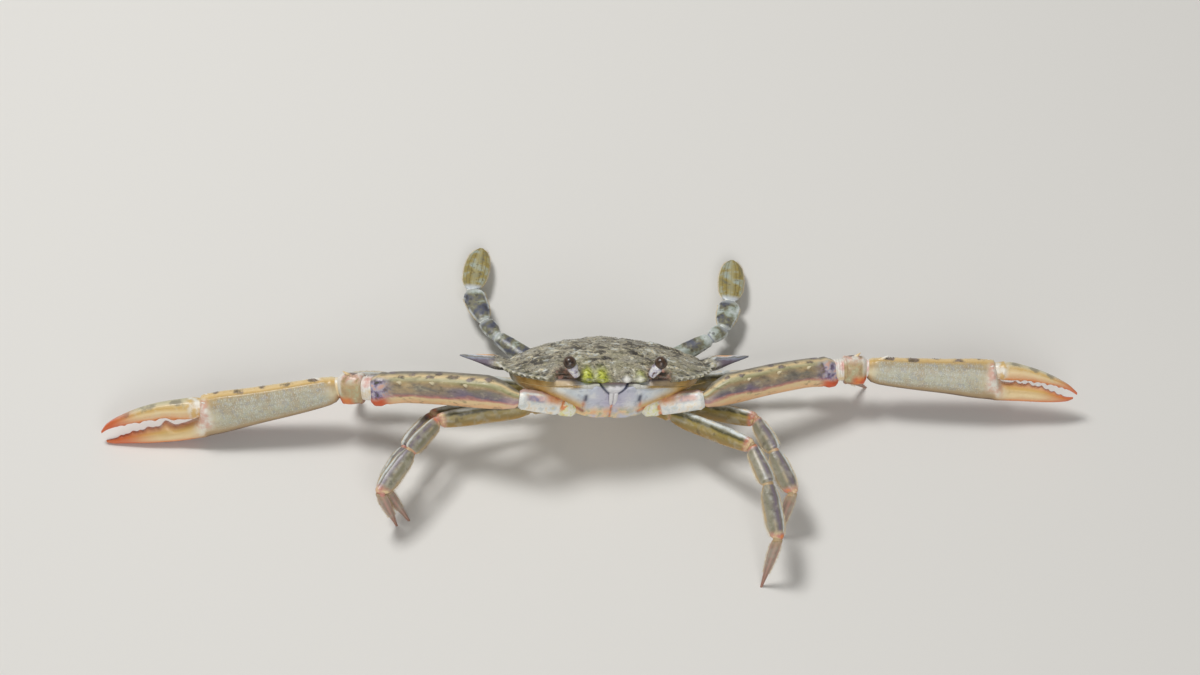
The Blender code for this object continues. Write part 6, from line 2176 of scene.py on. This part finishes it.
# node's word, everyday word and stations of each piece of a swimming leg
PADDLE_PIECES = (
    ("merus", "thigh", (
        (0.0, 1.3, -1.3, 1.0), (0.8, 2.2, -2.2, 1.4), (8.0, 2.9, -2.8, 1.5), (16.0, 2.6, -2.5, 1.3),
        (22.0, 2.0, -2.0, 1.1), (23.0, 1.4, -1.4, 0.9))),
    ("carpus", "knee", (
        (0.0, 1.2, -1.2, 0.8), (0.7, 1.8, -1.8, 1.1), (3.4, 2.3, -2.3, 1.1), (5.2, 2.0, -2.0, 0.9),
        (5.8, 1.4, -1.4, 0.7))),
    ("propodus", "shank", (
        (0.0, 1.2, -1.2, 0.7), (0.7, 1.8, -1.8, 0.9), (5.0, 3.0, -2.8, 0.8), (9.0, 3.2, -2.9, 0.6),
        (10.8, 2.2, -2.2, 0.5), (11.4, 1.5, -1.5, 0.45))),
    ("dactylus", "blade", (
        (0.0, 1.2, -1.2, 0.45), (0.9, 2.2, -2.2, 0.5), (4.0, 3.4, -3.3, 0.5), (8.0, 3.6, -3.5, 0.45),
        (12.0, 3.1, -3.0, 0.4), (14.6, 1.9, -1.9, 0.35), (15.8, 0.7, -0.7, 0.3))),
)


@dataclass
class SwimmingLeg:
    """Swimming leg laid back behind the body, ending in a flat oval blade."""

    shop: Workshop
    plan: PaddlePlan
    lean: float = 12.0

    def build(self) -> None:
        """Build the four pieces, the skin of their joints and the fringe."""
        side = self.plan.side
        face = heading(-90.0, 90.0 - self.lean)
        place = self.shop.stance.place(self.plan.root)
        limbs = []
        for (length, azimuth, elevation), (_, word, table) in zip(self.plan.pieces, PADDLE_PIECES):
            way = heading(azimuth, elevation)
            dish = (0.12, 0.25 if word == "blade" else -0.3)
            up = np.cross(way, face) * side.value
            limbs.append(Limb(place, way, up, fitted(table, length), columns=44, step=0.3, dish=dish))
            place = limbs[-1].end
        joints = mitred(limbs, 1.0, 0.9, 1.5)
        for limb, (node, word, _) in zip(limbs, PADDLE_PIECES):
            self.build_piece(limb, node, word)
        self.shop.finish(joints, "paddle_joint_skin_" + side.tag, PADDLE_JOINT, Slot.PADDLE_ARM)
        self.shop.fringe("paddle_fringe_" + side.tag, limbs, 1.2, {2: 2.4, 3: 0.3}, Slot.BLADE)

    def build_piece(self, limb: Limb, node: str, word: str) -> None:
        """Build one piece with its keels or veins and joint tint."""
        length = limb.stations[-1, 0]
        blade = word == "blade"
        if blade:
            veins = (-35.0, 0.0, 35.0, 180.0, 145.0, -145.0)
            limb.relief = tuple(Ridge(turn, 0.35, 0.10, 0.5, length - 1.0) for turn in veins)
        else:
            limb.relief = (Ridge(0.0, 0.6, 0.12, 1.0, length - 0.8),
                           Ridge(45.0, 0.35, -0.10, 1.0, length - 0.8), Rim(length - 0.9, 0.35, 0.08))
        skin = limb.skin()
        along = skin.values["limb"][:, 0]
        far, near = smoothstep(length - 1.8, length - 0.5, along), 1.0 - smoothstep(0.3, 1.2, along)
        skin.values["joint"] = np.maximum(far, near)
        look, slot = (BLADE, Slot.BLADE) if blade else (PADDLE_ARM, Slot.PADDLE_ARM)
        tag = self.plan.side.tag
        self.shop.finish(skin, f"paddle_{word}_{tag}", look, slot, f"paddle_{node}_{tag}")


@dataclass
class Studio:
    """Pale floor, soft light and the camera."""

    stance: Stance
    lens: float = 100.0
    distance: float = 0.893
    elevation: float = 55.0
    aim: tuple[float, float, float] = (-1.4, 0.0, 12.5)
    floor_size: float = 6.0
    sky: float = 0.20
    # name, place in metres, size and power of each light
    lamps: tuple = (
        ("key_panel", (-0.35, 0.35, 1.0), 0.3, 7.6),
        ("front_panel", (0.15, -0.9, 0.75), 0.5, 3.4),
        ("low_fill", (0.0, -1.3, 0.22), 0.9, 3.4),
    )

    def build(self) -> None:
        """Build the floor, lights and camera."""
        self.build_floor()
        self.build_camera()
        bpy.context.scene.view_settings.view_transform = "Standard"
        world = bpy.data.worlds.new("soft_room")
        world.use_nodes = True
        world.node_tree.nodes["Background"].inputs[0].default_value = (1.0, 0.99, 0.97, 1.0)
        world.node_tree.nodes["Background"].inputs[1].default_value = self.sky
        bpy.context.scene.world = world
        for lamp in self.lamps:
            self.build_lamp(*lamp)

    @staticmethod
    def show(name: str, data: Union[bpy.types.Mesh, bpy.types.Camera, bpy.types.Light]) -> bpy.types.Object:
        """Put an object with this data in the scene."""
        item = bpy.data.objects.new(name, data)
        bpy.context.scene.collection.objects.link(item)
        return item

    def build_floor(self) -> None:
        """Build the plain pale floor."""
        half = self.floor_size / 2.0
        mesh = bpy.data.meshes.new("floor")
        mesh.from_pydata([(-half, -half, 0.0), (half, -half, 0.0), (half, half, 0.0), (-half, half, 0.0)], [],
                         [range(4)])
        material = bpy.data.materials.new("plain_floor")
        material.use_nodes = True
        shader = material.node_tree.nodes["Principled BSDF"]
        shader.inputs["Base Color"].default_value = Tint.FLOOR.rgba()
        shader.inputs["Roughness"].default_value = 0.9
        mesh.materials.append(material)
        self.show("floor", mesh)

    def build_camera(self) -> None:
        """Set the camera in front of the body, looking down on it."""
        data = bpy.data.cameras.new("camera")
        data.lens = self.lens
        camera = self.show("camera", data)
        e = math.radians(self.elevation)
        back = np.array((0.0, -math.cos(e), math.sin(e)))
        camera.location = Vector(self.stance.origin + np.array(self.aim) * MM + back * self.distance)
        camera.rotation_euler = (math.radians(90.0 - self.elevation), 0.0, 0.0)
        bpy.context.scene.camera = camera

    def build_lamp(self, name: str, place: tuple[float, float, float], size: float, power: float) -> None:
        """Add a square soft light that looks at the middle of the body."""
        data = bpy.data.lights.new(name, "AREA")
        data.size = size
        data.energy = power
        item = self.show(name, data)
        item.location = place
        item.rotation_euler = (-Vector(place)).to_track_quat("-Z", "Y").to_euler()


def main() -> None:
    """Load the frame, build every part of the crab round it and set the studio."""
    logging.basicConfig(level=logging.INFO, format="%(message)s")
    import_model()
    stance = Stance()
    shop = Workshop(stance, Wardrobe())
    shield = Shield(shop)
    shield.build()
    Trunk(shop, shield).build()
    Face(shop).build()
    for pose in CLAW_POSES:
        ClawArm(shop, pose).build()
    for plan in LEG_PLANS:
        WalkingLeg(shop, plan).build()
    for plan in PADDLE_PLANS:
        SwimmingLeg(shop, plan).build()
    Studio(stance).build()
    total = sum(len(face.vertices) - 2 for piece in shop.pieces for face in piece.data.polygons)
    LOG.info("%d pieces, %d triangles", len(shop.pieces), total)


if __name__ == "__main__":
    main()
